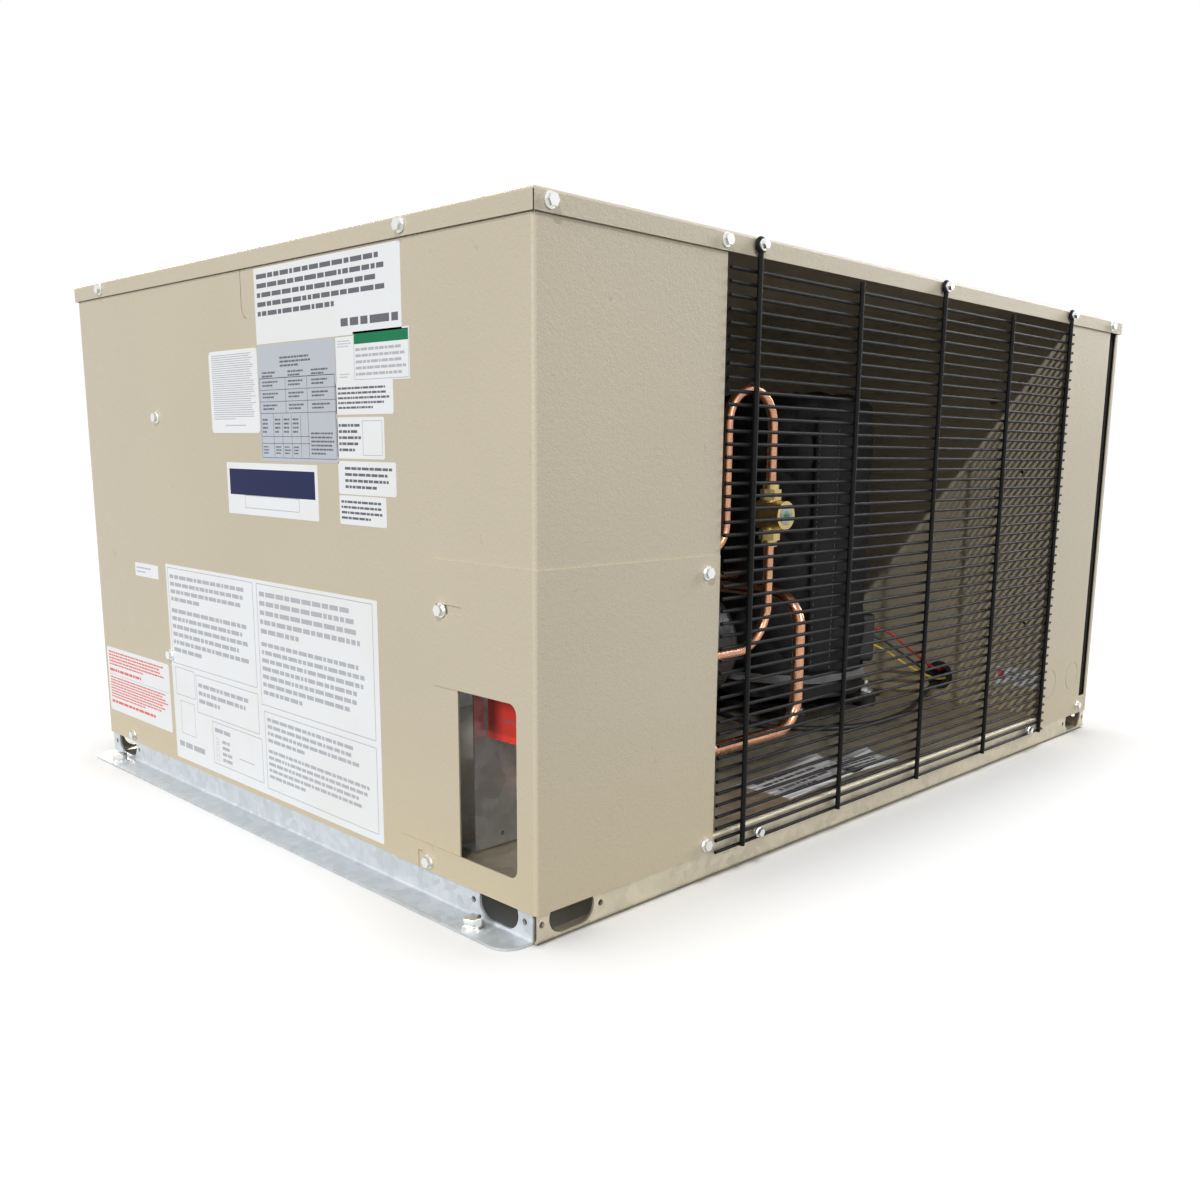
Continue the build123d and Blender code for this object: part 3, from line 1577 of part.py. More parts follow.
cover_face_x = cover_x + cover_t / 2
cover_face_y = cover_y + cover_t / 2
panel_seats = [
    facing(-panel_face_x, half_d - y, z, left)
    for y, z in ((180, 376), (178, 137), (70, foot_screw_z))
]
panel_seats += [
    facing(-cover_face_x, y - half_d, z, left) for y, z in ((127, foot_screw_z), (105, 233))
]
panel_seats += [
    facing(x - half_w, -cover_face_y, z, front) for x, z in ((179, 257), (185, foot_screw_z))
]
panel_seats.append(facing(half_w - 33, -panel_face_y, foot_screw_z + 3, front))
panel_seats.append(facing(panel_face_x, 180 - half_d, foot_screw_z, right))
panel_seats += [facing(panel_face_x, half_d - y, z, right) for y, z in ((180, 376), (180, 137))]
finish(screws(panel_seats), "panel_screws")

eye_face_y = guard_upright_y - guard_eye_d / 2 - guard_screw_gap
guard_seats = [facing(x, eye_face_y, guard_eye_z, front) for x in upright_xs[::2]]
clamp_z = guard_lowest_wire + guard_wire_pitch / 2
clamp_xs = (guard_left + clamp_from_left, guard_right - clamp_from_right)
guard_seats += [
    facing(x, guard_face_y - guard_screw_gap, clamp_z, front) for x in clamp_xs
]
guard_screws = screws(
    guard_seats,
    washer_d=guard_screw_washer_d,
    head_af=guard_screw_head_af,
    shank_l=guard_screw_shank_l,
)
finish(guard_screws, "guard_screws")
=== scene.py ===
"""Refrigeration condensing unit: finishes, labels, sound jacket, fins and stage round the frame."""

import json
import math
import random

import bmesh
import bpy
from mathutils import Matrix, Vector


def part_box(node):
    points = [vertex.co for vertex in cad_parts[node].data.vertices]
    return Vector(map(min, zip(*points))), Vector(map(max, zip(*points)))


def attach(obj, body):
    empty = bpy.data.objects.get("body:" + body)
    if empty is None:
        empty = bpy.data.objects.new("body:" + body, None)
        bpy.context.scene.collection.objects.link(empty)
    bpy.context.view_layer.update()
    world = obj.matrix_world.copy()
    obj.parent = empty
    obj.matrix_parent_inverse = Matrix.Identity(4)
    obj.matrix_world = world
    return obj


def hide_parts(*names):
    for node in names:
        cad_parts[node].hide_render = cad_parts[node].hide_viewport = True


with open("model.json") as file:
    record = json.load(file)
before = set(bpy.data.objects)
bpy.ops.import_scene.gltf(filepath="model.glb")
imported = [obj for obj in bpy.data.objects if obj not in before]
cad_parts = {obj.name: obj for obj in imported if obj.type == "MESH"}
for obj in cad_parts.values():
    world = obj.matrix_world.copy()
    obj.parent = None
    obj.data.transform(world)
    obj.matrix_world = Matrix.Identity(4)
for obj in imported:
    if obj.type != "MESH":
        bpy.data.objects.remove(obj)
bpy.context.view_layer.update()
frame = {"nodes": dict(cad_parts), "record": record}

bl_info = {
    "name": "Condensing unit finishes",
    "version": (1, 0, 0),
    "blender": (4, 5, 0),
    "location": "View3D > Sidebar > Unit",
    "description": "Finishes, labels, sound jacket, fins and stage of a condensing unit",
    "category": "Object",
}

MM = 0.001

# ------------------------------------------------------------------ sizes and colours


def length(name, description, default):
    """A size in metres that a user may change."""
    return bpy.props.FloatProperty(
        name=name,
        description=description,
        default=default,
        min=0.0,
        subtype="DISTANCE",
        unit="LENGTH",
        precision=5,
    )


def colour(name, description, default):
    """A colour that a user may change."""
    return bpy.props.FloatVectorProperty(
        name=name,
        description=description,
        default=default,
        min=0.0,
        max=1.0,
        size=3,
        subtype="COLOR",
    )


class UnitColours(bpy.types.PropertyGroup):
    """Colours of the unit's finishes."""

    casing: colour("Casing", "Beige powder coat", (0.585, 0.52, 0.395))
    zinc: colour("Zinc", "Galvanised sheet", (0.60, 0.64, 0.67))
    # Warm zinc colour: a painted warm reflection from below, laid on the base pan and right foot
    # rail.
    passivated: colour("Passivated", "Warm passivated zinc", (0.60, 0.545, 0.42))
    copper: colour("Copper", "Drawn copper tube", (0.87, 0.45, 0.28))
    brass: colour("Brass", "Machined brass", (0.80, 0.62, 0.28))
    guard: colour("Guard", "Black dipped wire", (0.006, 0.006, 0.006))
    jacket: colour("Jacket", "Black quilted sound jacket", (0.006, 0.006, 0.007))
    paper: colour("Label", "White label stock", (0.84, 0.86, 0.88))
    data_plate: colour("Data plate", "Grey data plate", (0.50, 0.53, 0.60))
    ink: colour("Print", "Dark print", (0.13, 0.13, 0.15))
    card: colour("Card", "Red hang card", (0.70, 0.045, 0.03))


class UnitSizes(bpy.types.PropertyGroup):
    """Sizes of the pieces that are added to the frame."""

    label_t: length("Label", "Thickness of a label", 0.00015)
    print_lift: length("Print lift", "Height of the print over its label", 0.00004)
    fin_pitch: length("Fin pitch", "Distance from fin to fin", 0.0021)
    fin_t: length("Fin", "Thickness of a fin", 0.00015)
    quilt_depth: length("Quilt depth", "How far the seams draw the jacket in", 0.0055)
    bolt_af: length("Bolt", "Width over the flats of a hold-down bolt", 0.0143)
    bolt_flange: length("Bolt washer", "Radius of the hold-down washer", 0.0125)


# ------------------------------------------------------------------ materials


class Flow:
    """A value on its way through a material. Arithmetic on it adds the nodes that do it."""

    def __init__(self, recipe, socket):
        self.recipe = recipe
        self.socket = socket

    def sum(self, operation, first, second=0.0):
        return self.recipe.node("ShaderNodeMath", {0: first, 1: second}, operation=operation)

    def __add__(self, other):
        return self.sum("ADD", self, other)

    def __sub__(self, other):
        return self.sum("SUBTRACT", self, other)

    def __rsub__(self, other):
        return self.sum("SUBTRACT", other, self)

    def __mul__(self, other):
        return self.sum("MULTIPLY", self, other)

    def __pow__(self, other):
        return self.sum("POWER", self, other)

    def __gt__(self, other):
        return self.sum("GREATER_THAN", self, other)

    def larger(self, other):
        return self.sum("MAXIMUM", self, other)

    def size(self):
        return self.sum("ABSOLUTE", self)

    __radd__ = __add__
    __rmul__ = __mul__


class Recipe:
    """A material or a world in the making."""

    def __init__(self, name, kind="materials"):
        self.made = getattr(bpy.data, kind).new(name)
        self.made.use_nodes = True
        self.tree = self.made.node_tree
        self.tree.nodes.clear()

    def node(self, kind, sockets, output=0, **settings):
        """One node: its settings first, then the values or links of its sockets."""
        made = self.tree.nodes.new(kind)
        for name, value in settings.items():
            setattr(made, name, value)
        for key, value in sockets.items():
            if isinstance(value, Flow):
                self.tree.links.new(value.socket, made.inputs[key])
            else:
                made.inputs[key].default_value = value
        return Flow(self, made.outputs[output]) if made.outputs else None

    def place(self, scale=(1.0, 1.0, 1.0), centre=(0.0, 0.0, 0.0), turn=(0.0, 0.0, 0.0)):
        """A point's place on the piece, from the middle of its pattern."""
        point = self.node("ShaderNodeTexCoord", {}, "Object")
        moved = self.node(
            "ShaderNodeMapping",
            {"Vector": point, "Location": centre, "Rotation": turn},
            vector_type="TEXTURE",
        )
        return self.node(
            "ShaderNodeVectorMath", {0: moved, 1: scale}, operation="MULTIPLY"
        )

    def strip(self, name):
        """A point's place along the piece's own unrolled surface."""
        return self.node("ShaderNodeUVMap", {}, uv_map=name)

    def axis(self, at, which):
        return self.node("ShaderNodeSeparateXYZ", {0: at}, which)

    def noise(self, at, scale, detail=2.0, roughness=0.5, distortion=0.0):
        return self.node(
            "ShaderNodeTexNoise",
            {
                "Vector": at,
                "Scale": scale,
                "Detail": detail,
                "Roughness": roughness,
                "Distortion": distortion,
            },
        )

    def cells(self, at, scale, output="Distance", randomness=1.0, **settings):
        return self.node(
            "ShaderNodeTexVoronoi",
            {"Vector": at, "Scale": scale, "Randomness": randomness},
            output,
            **settings,
        )

    def wave(self, at, scale, direction="X", distortion=0.0):
        return self.node(
            "ShaderNodeTexWave",
            {"Vector": at, "Scale": scale, "Distortion": distortion},
            1,
            bands_direction=direction,
        )

    def between(self, value, low, high, to_low=0.0, to_high=1.0):
        return self.node(
            "ShaderNodeMapRange", {0: value, 1: low, 2: high, 3: to_low, 4: to_high}
        )

    def mix(self, first, second, factor):
        """A colour between two colours."""
        ends = {6: first, 7: second}
        for key, end in ends.items():
            if not isinstance(end, Flow):
                ends[key] = (*end, 1.0)
        return self.node("ShaderNodeMix", {0: factor, **ends}, 2, data_type="RGBA")

    def surface(self, hue, roughness, bump=None, depth=0.0001, **fixed):
        """The finished surface. Values given by name are the same all over it."""
        sockets = {"Base Color": hue, "Roughness": roughness}
        if not isinstance(hue, Flow):
            sockets["Base Color"] = (*hue, 1.0)
        for name, value in fixed.items():
            sockets[name.replace("_", " ").title().replace("Ior", "IOR")] = value
        if bump is not None:
            sockets["Normal"] = self.node(
                "ShaderNodeBump", {"Height": bump, "Distance": depth}
            )
        shader = self.node("ShaderNodeBsdfPrincipled", sockets)
        self.node("ShaderNodeOutputMaterial", {"Surface": shader})
        return self.made


def shade(hue, amount):
    """A colour made darker or lighter."""
    return tuple(min(1.0, part * amount) for part in hue)


def colours():
    return bpy.context.scene.unit_colours


def sizes():
    return bpy.context.scene.unit_sizes


def casing_paint():
    """Satin beige powder coat: fine orange peel, faint drifts of tone, a painted warm reflection low
    on the panels.
    """
    paint = Recipe("casing_paint")
    at = paint.place()
    hue = tuple(colours().casing)
    drift = paint.between(paint.noise(at, 2.2, 4.0, 0.55), 0.35, 0.68)
    fine = paint.between(paint.noise(at, 420.0, 3.0, 0.6), 0.3, 0.7)
    specks = paint.cells(at, 95.0) > 0.965
    # Painted warm reflection from below: the paint turns yellower towards the bottom of the panels.
    low = paint.between(paint.axis(at, 2), 0.16, 0.02) * 0.6
    rubbed = paint.between(paint.noise(at, 16.0, 6.0, 0.7), 0.62, 0.78) * 0.35
    body = paint.mix(shade(hue, 0.955), shade(hue, 1.03), drift)
    body = paint.mix(body, shade(hue, 0.93), fine * 0.3)
    body = paint.mix(body, (hue[0] * 1.03, hue[1] * 0.98, hue[2] * 0.84), low)
    body = paint.mix(body, shade(hue, 1.1), rubbed)
    body = paint.mix(body, shade(hue, 0.6), specks * 0.25)
    peel = paint.noise(at, 700.0, 2.0, 0.5) + paint.noise(at, 240.0, 1.0) * 0.8
    return paint.surface(body, fine * 0.08 + 0.42, peel, 0.00022, specular_ior_level=0.4)


def galvanised(name="galvanised", shine=0.85, hue=None):
    """Hot-dipped sheet: frosted spangles, streaks along the roll, white bloom."""
    sheet = Recipe(name)
    at = sheet.place()
    hue = hue or tuple(colours().zinc)
    warped = sheet.node(
        "ShaderNodeVectorMath",
        {0: at, 1: sheet.noise(at, 40.0, 2.0) * 0.02},
        operation="ADD",
    )
    tone = sheet.axis(sheet.cells(warped, 130.0, "Color"), 0)
    small = sheet.axis(sheet.cells(warped, 330.0, "Color"), 1)
    streak = sheet.noise(sheet.place(scale=(2.0, 2.0, 40.0)), 9.0, 3.0)
    bloom = sheet.between(sheet.noise(at, 7.0, 5.0, 0.65), 0.5, 0.72)
    body = sheet.mix(shade(hue, 0.86), shade(hue, 1.07), tone)
    body = sheet.mix(body, shade(hue, 0.95), small * 0.4)
    body = sheet.mix(body, shade(hue, 1.05), bloom * 0.45)
    rough = tone * 0.1 + streak * 0.1 + bloom * 0.14 + 0.34
    return sheet.surface(body, rough, tone + small * 0.5 + streak, 0.00003, metallic=shine)


def dipped_coat(name, hue, roughness, gloss=0.5):
    """Dipped or enamelled black, with slow sags and a little dust."""
    coat = Recipe(name)
    at = coat.place()
    sag = coat.noise(at, 90.0, 3.0, 0.6)
    dust = coat.between(coat.noise(at, 24.0, 5.0, 0.7), 0.5, 0.8)
    body = coat.mix(hue, (0.09, 0.085, 0.075), dust * 0.1)
    peel = sag + coat.noise(at, 600.0, 2.0) * 0.35
    return coat.surface(
        body, dust * 0.2 + sag * 0.12 + roughness, peel, 0.00012, specular_ior_level=gloss
    )


def guard_black():
    return dipped_coat("guard_black", tuple(colours().guard), 0.46, 0.12)


def black_enamel():
    return dipped_coat("black_enamel", (0.013, 0.013, 0.015), 0.22)


def bare_metal(name, hue, dark, tint, amount, roughness, draw):
    """Bare metal with drawing lines, tarnish in clouds and a heat-stained tint."""
    metal = Recipe(name)
    at = metal.place()
    cloud = metal.between(metal.noise(at, 11.0, 5.0, 0.65, 0.6), 0.42, 0.7)
    stain = metal.between(metal.noise(metal.place(centre=(0.4, 0.2, 0.1)), 17.0, 3.0), 0.54, 0.7)
    lines = metal.noise(metal.place(scale=draw), 60.0, 2.0, 0.7)
    body = metal.mix(hue, dark, cloud * amount)
    body = metal.mix(body, tint, stain * 0.5 * amount)
    rough = cloud * 0.2 + lines * 0.14 + roughness
    return metal.surface(body, rough, lines, 0.000007, metallic=1.0)


def copper_tube():
    hue = tuple(colours().copper)
    return bare_metal("copper_tube", hue, shade(hue, 0.5), (0.62, 0.36, 0.34), 0.75, 0.13, (1, 1, 1))


def brass_body():
    hue = tuple(colours().brass)
    return bare_metal("brass_body", hue, shade(hue, 0.55), (0.62, 0.42, 0.22), 0.5, 0.16, (3, 3, 3))


def zinc_screw():
    return bare_metal(
        "zinc_screw", (0.80, 0.81, 0.80), (0.5, 0.51, 0.5), (0.75, 0.72, 0.55), 0.5, 0.16, (4, 4, 4)
    )


def fan_sheet():
    return bare_metal(
        "fan_sheet", (0.74, 0.75, 0.77), (0.45, 0.46, 0.48), (0.7, 0.7, 0.66), 0.5, 0.26, (1, 9, 1)
    )


def fin_sheet():
    return bare_metal(
        "fin_sheet", (0.78, 0.79, 0.81), (0.5, 0.5, 0.5), (0.62, 0.6, 0.55), 0.45, 0.32, (1, 3, 3)
    )


def can_sheet():
    return bare_metal(
        "can_sheet", (0.78, 0.78, 0.79), (0.55, 0.55, 0.56), (0.7, 0.7, 0.7), 0.3, 0.22, (1, 1, 9)
    )


def shaft_bar():
    return bare_metal(
        "shaft_bar", (0.62, 0.62, 0.63), (0.3, 0.27, 0.24), (0.4, 0.3, 0.2), 0.5, 0.2, (9, 1, 9)
    )


def motor_paint():
    """Grey-black stoved motor enamel with runs and a little dust."""
    return dipped_coat("motor_paint", (0.035, 0.036, 0.04), 0.3)


def moulded(name, hue, roughness, speckle=0.12):
    """Moulded plastic or rubber: fine grain and slight flow marks."""
    plastic = Recipe(name)
    at = plastic.place()
    flow = plastic.noise(at, 35.0, 3.0, 0.55, 1.2)
    grain = plastic.cells(at, 1400.0)
    body = plastic.mix(shade(hue, 1.0 - speckle), shade(hue, 1.0 + speckle), flow)
    return plastic.surface(body, flow * 0.12 + roughness, grain + flow, 0.00005)


def quilt_cloth():
    """Black coated cloth: crossed yarns at a millimetre, worn in patches."""
    cloth = Recipe("quilt_cloth")
    at = cloth.strip("unrolled")
    warp = cloth.wave(at, 260.0, "X", 0.6)
    weft = cloth.wave(at, 260.0, "Y", 0.6)
    wear = cloth.between(cloth.noise(cloth.place(), 26.0, 5.0, 0.7), 0.48, 0.75)
    hue = tuple(colours().jacket)
    body = cloth.mix(shade(hue, 0.8), shade(hue, 2.2), warp * weft)
    body = cloth.mix(body, (0.04, 0.04, 0.04), wear * 0.25)
    folds = cloth.noise(cloth.place(scale=(1, 1, 0.5)), 55.0, 4.0, 0.6)
    return cloth.surface(
        body, wear * 0.12 + 0.62, warp * 0.06 + weft * 0.06 + folds, 0.0012, specular_ior_level=0.3
    )


def web_cloth(name, hue):
    """Woven webbing or thread with slanting ribs."""
    web = Recipe(name)
    rib = web.wave(web.place(turn=(0.0, 0.5, 0.0)), 190.0, "Z", 0.4)
    fuzz = web.noise(web.place(), 500.0, 3.0, 0.7)
    body = web.mix(shade(hue, 0.6), shade(hue, 1.25), rib * 0.7 + fuzz * 0.3)
    return web.surface(body, 0.78, rib + fuzz * 0.4, 0.0003, sheen_weight=0.25)


def paper(name, hue, gloss=0.38):
    """Label stock: a slight fibre, a soft gloss and a touch of yellowing."""
    stock = Recipe(name)
    at = stock.place()
    cloud = stock.between(stock.noise(at, 9.0, 4.0, 0.6), 0.4, 0.7)
    fibre = stock.noise(at, 1500.0, 2.0, 0.6)
    body = stock.mix(hue, (hue[0] * 0.97, hue[1] * 0.96, hue[2] * 0.92), cloud)
    return stock.surface(body, cloud * 0.1 + gloss, fibre, 0.00002, coat_weight=0.15)


def printed(name, hue):
    """Ink that has gone on a little unevenly."""
    ink = Recipe(name)
    fill = ink.noise(ink.place(), 900.0, 3.0, 0.65)
    body = ink.mix(shade(hue, 0.8), shade(hue, 1.5), fill)
    return ink.surface(body, fill * 0.15 + 0.5, specular_ior_level=0.15)


def sight_glass():
    """Thick glass over a green moisture spot."""
    lens = Recipe("sight_glass")
    low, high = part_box("sight_glass_lens")
    middle = (low + high) / 2
    at = lens.place(centre=tuple(middle))
    ring = lens.node("ShaderNodeVectorMath", {0: at}, "Value", operation="LENGTH")
    spot = lens.between(ring, 0.0048, 0.0042)
    cloud = lens.noise(at, 400.0, 3.0)
    body = lens.mix((0.55, 0.58, 0.56), (0.05, 0.42, 0.16), spot)
    body = lens.mix(body, (0.8, 0.82, 0.8), cloud * 0.12)
    return lens.surface(body, cloud * 0.04 + 0.04, coat_weight=1.0, ior=1.5)


FINISHES = {
    "casing_paint": casing_paint,
    "galvanised": galvanised,
    "guard_black": guard_black,
    "copper": copper_tube,
    "brass": brass_body,
    "black_paint": black_enamel,
    "jacket_fabric": quilt_cloth,
    "strap": lambda: web_cloth("strap_web", (0.24, 0.24, 0.26)),
    "rubber": lambda: moulded("black_rubber", (0.02, 0.02, 0.021), 0.55),
    "wire_red": lambda: moulded("red_insulation", (0.62, 0.03, 0.03), 0.32),
    "wire_yellow": lambda: moulded("yellow_insulation", (0.75, 0.55, 0.05), 0.32),
    "wire_black": lambda: moulded("black_insulation", (0.018, 0.018, 0.02), 0.32),
    "fan_aluminium": fan_sheet,
    "fin_aluminium": fin_sheet,
    "motor_paint": motor_paint,
    "shaft_steel": shaft_bar,
    "black_plastic": lambda: moulded("black_plastic", (0.022, 0.022, 0.024), 0.38),
    "grey_plastic": lambda: moulded("grey_plastic", (0.34, 0.35, 0.36), 0.42),
    "can_aluminium": can_sheet,
    "button_red": lambda: moulded("red_button", (0.68, 0.03, 0.03), 0.28),
    "sight_lens": sight_glass,
    "zinc_screws": zinc_screw,
}

made_finishes = {}


def finish_of(slot):
    """The material of one of the record's slots, made once."""
    if slot not in made_finishes:
        made_finishes[slot] = FINISHES[slot]()
    return made_finishes[slot]


def shared(maker, *words):
    """A material that isn't one of the record's, made once."""
    if words[0] not in made_finishes:
        made_finishes[words[0]] = maker(*words)
    return made_finishes[words[0]]


# ------------------------------------------------------------------ pieces


def piece(name, shape, material, body="cabinet", smooth=False, closed=True):
    """Makes a finished object of the shape, which rides on a body."""
    if closed:
        bmesh.ops.recalc_face_normals(shape, faces=shape.faces[:])
    mesh = bpy.data.meshes.new(name)
    shape.to_mesh(mesh)
    shape.free()
    if smooth:
        mesh.shade_smooth()
        mesh.set_sharp_from_angle(angle=math.radians(38))
    mesh.materials.append(material)
    made = bpy.data.objects.new(name, mesh)
    bpy.context.collection.objects.link(made)
    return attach(made, body)


def standing(at, across, up, out):
    """The turn that lays a flat drawing on a face: its right, its top and its outside."""
    turn = Matrix((across, up, out)).transposed().to_4x4()
    return Matrix.Translation(at) @ turn


def patch(shape, width, height, matrix):
    """One flat rectangle in the middle of its place."""
    sized = matrix @ Matrix.Diagonal((width, height, 1.0, 1.0))
    return bmesh.ops.create_grid(shape, x_segments=1, y_segments=1, size=0.5, matrix=sized)


def card_shape(width, height, corner, thick, matrix):
    """A sheet with round corners."""
    shape = bmesh.new()
    patch(shape, width, height, Matrix())
    if corner:
        bmesh.ops.bevel(
            shape,
            geom=shape.verts[:],
            offset=corner,
            offset_type="OFFSET",
            affect="VERTICES",
            segments=5,
            profile=0.5,
            material=-1,
        )
    grown = bmesh.ops.extrude_face_region(shape, geom=shape.faces[:])
    top = [part for part in grown["geom"] if isinstance(part, bmesh.types.BMVert)]
    bmesh.ops.translate(shape, vec=(0.0, 0.0, thick), verts=top)
    shape.transform(matrix)
    return shape


class Print:
    """Rules, bands and greeked rows on a label, gathered by colour of ink."""

    inks = {
        "dark": lambda: printed("dark_ink", tuple(colours().ink)),
        "red": lambda: printed("red_ink", (0.72, 0.16, 0.14)),
        "navy": lambda: printed("navy_ink", (0.012, 0.016, 0.06)),
        "green": lambda: printed("green_ink", (0.01, 0.16, 0.07)),
        "grey": lambda: printed("grey_ink", (0.42, 0.43, 0.46)),
    }

    def __init__(self, name, matrix, width, height):
        self.name = name
        self.matrix = matrix
        self.width = width
        self.height = height
        self.shapes = {}
        self.chance = random.Random(name)

    def block(self, ink, left, top, right, bottom):
        """A filled rectangle, placed in shares of the label from its top left corner."""
        shape = self.shapes.setdefault(ink, bmesh.new())
        middle = Matrix.Translation(
            (
                ((left + right) / 2 - 0.5) * self.width,
                (0.5 - (top + bottom) / 2) * self.height,
                sizes().print_lift,
            )
        )
        patch(
            shape,
            (right - left) * self.width,
            (bottom - top) * self.height,
            self.matrix @ middle,
        )

    def rows(self, ink, left, top, right, bottom, count, fill=0.55, last=0.6, word=4.5):
        """Greeked rows: bars with gaps, as far as can be read from across a yard."""
        pitch = (bottom - top) / count
        high = pitch * fill
        letter = high * self.height / self.width * 0.55
        for row in range(count):
            y = top + pitch * (row + (1 - fill) / 2)
            end = left + (right - left) * (
                last if row == count - 1 else self.chance.uniform(0.86, 1.0)
            )
            x = left
            while x < end - 1.5 * letter:
                reach = min(end, x + letter * self.chance.uniform(0.45, 1.9) * word)
                self.block(ink, x, y, reach, y + high)
                x = reach + letter * 0.9

    def rule(self, ink, left, top, right, bottom, thick=0.0005):
        """A thin line across or down the label."""
        if abs(right - left) > abs(bottom - top):
            self.block(ink, left, top, right, top + thick / self.height)
        else:
            self.block(ink, left, top, left + thick / self.width, bottom)

    def frame(self, ink, left, top, right, bottom, thick=0.0005):
        """A thin border."""
        self.rule(ink, left, top, right, top, thick)
        self.rule(ink, left, bottom, right, bottom, thick)
        self.rule(ink, left, top, left, bottom, thick)
        self.rule(ink, right, top, right, bottom, thick)

    def done(self):
        for ink, shape in self.shapes.items():
            material = made_finishes.setdefault(f"{ink}_ink", None) or self.inks[ink]()
            made_finishes[f"{ink}_ink"] = material
            piece(f"{self.name}_{ink}", shape, material, closed=False)


def label(name, at, across, up, width, height, corner=0.002, stock=None):
    """A blank label on a face, and the print to lay on it."""
    out = across.cross(up)
    place = standing(at, across, up, out)
    thick = sizes().label_t
    stock = stock or shared(paper, "label_stock", tuple(colours().paper))
    piece(name, card_shape(width, height, corner, thick, place), stock)
    return Print(name, place @ Matrix.Translation((0.0, 0.0, thick)), width, height)


def side_label(name, front, back, low, high, corner=0.002, stock=None):
    """A label on the left face, from its front edge to its back edge and up, in millimetres."""
    at = Vector((side_x, (front + back) / 2 * MM, (low + high) / 2 * MM))
    return label(
        name,
        at,
        Vector((0, -1, 0)),
        Vector((0, 0, 1)),
        (back - front) * MM,
        (high - low) * MM,
        corner,
        stock,
    )


side_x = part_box("wrap_panel")[0].x - 0.00002


def hex_head(shape, across_flats, high, matrix):
    """A six-sided head with its top corners turned off."""
    made = bmesh.ops.create_cone(
        shape,
        cap_ends=True,
        segments=6,
        radius1=across_flats / math.sqrt(3),
        radius2=across_flats / math.sqrt(3),
        depth=high,
        matrix=matrix @ Matrix.Translation((0, 0, high / 2)),
    )
    top = max(
        {face for vert in made["verts"] for face in vert.link_faces},
        key=lambda face: (matrix.inverted() @ face.calc_center_median()).z,
    )
    bmesh.ops.bevel(
        shape,
        geom=list(top.edges),
        offset=high * 0.16,
        offset_type="OFFSET",
        affect="EDGES",
        segments=2,
        profile=0.5,
        material=-1,
    )


def washer(shape, radius, thick, matrix, dish=0.92):
    """A round washer with a turned edge."""
    bmesh.ops.create_cone(
        shape,
        cap_ends=True,
        segments=36,
        radius1=radius,
        radius2=radius * dish,
        depth=thick,
        matrix=matrix @ Matrix.Translation((0, 0, thick / 2)),
    )


class UNIT_OT_finishes(bpy.types.Operator):
    """Give every piece of the frame its finish"""

    bl_idname = "unit.finishes"
    bl_label = "Frame finishes"

    def execute(self, context):
        slots = {row["node"]: row["material_slot"] for row in frame["record"]["subparts"]}
        for name, node in frame["nodes"].items():
            finish = finish_of(slots[name])
            if name == "left_foot_rail":
                finish = shared(galvanised, "weathered_zinc", 0.25)
            # The base pan and right foot rail take the warmer zinc: a painted warm reflection from
            # below.
            elif name in ("base_pan", "right_foot_rail"):
                finish = shared(galvanised, "passivated_zinc", 0.7, tuple(colours().passivated))
            for place in node.material_slots:
                place.material = finish
        return {"FINISHED"}


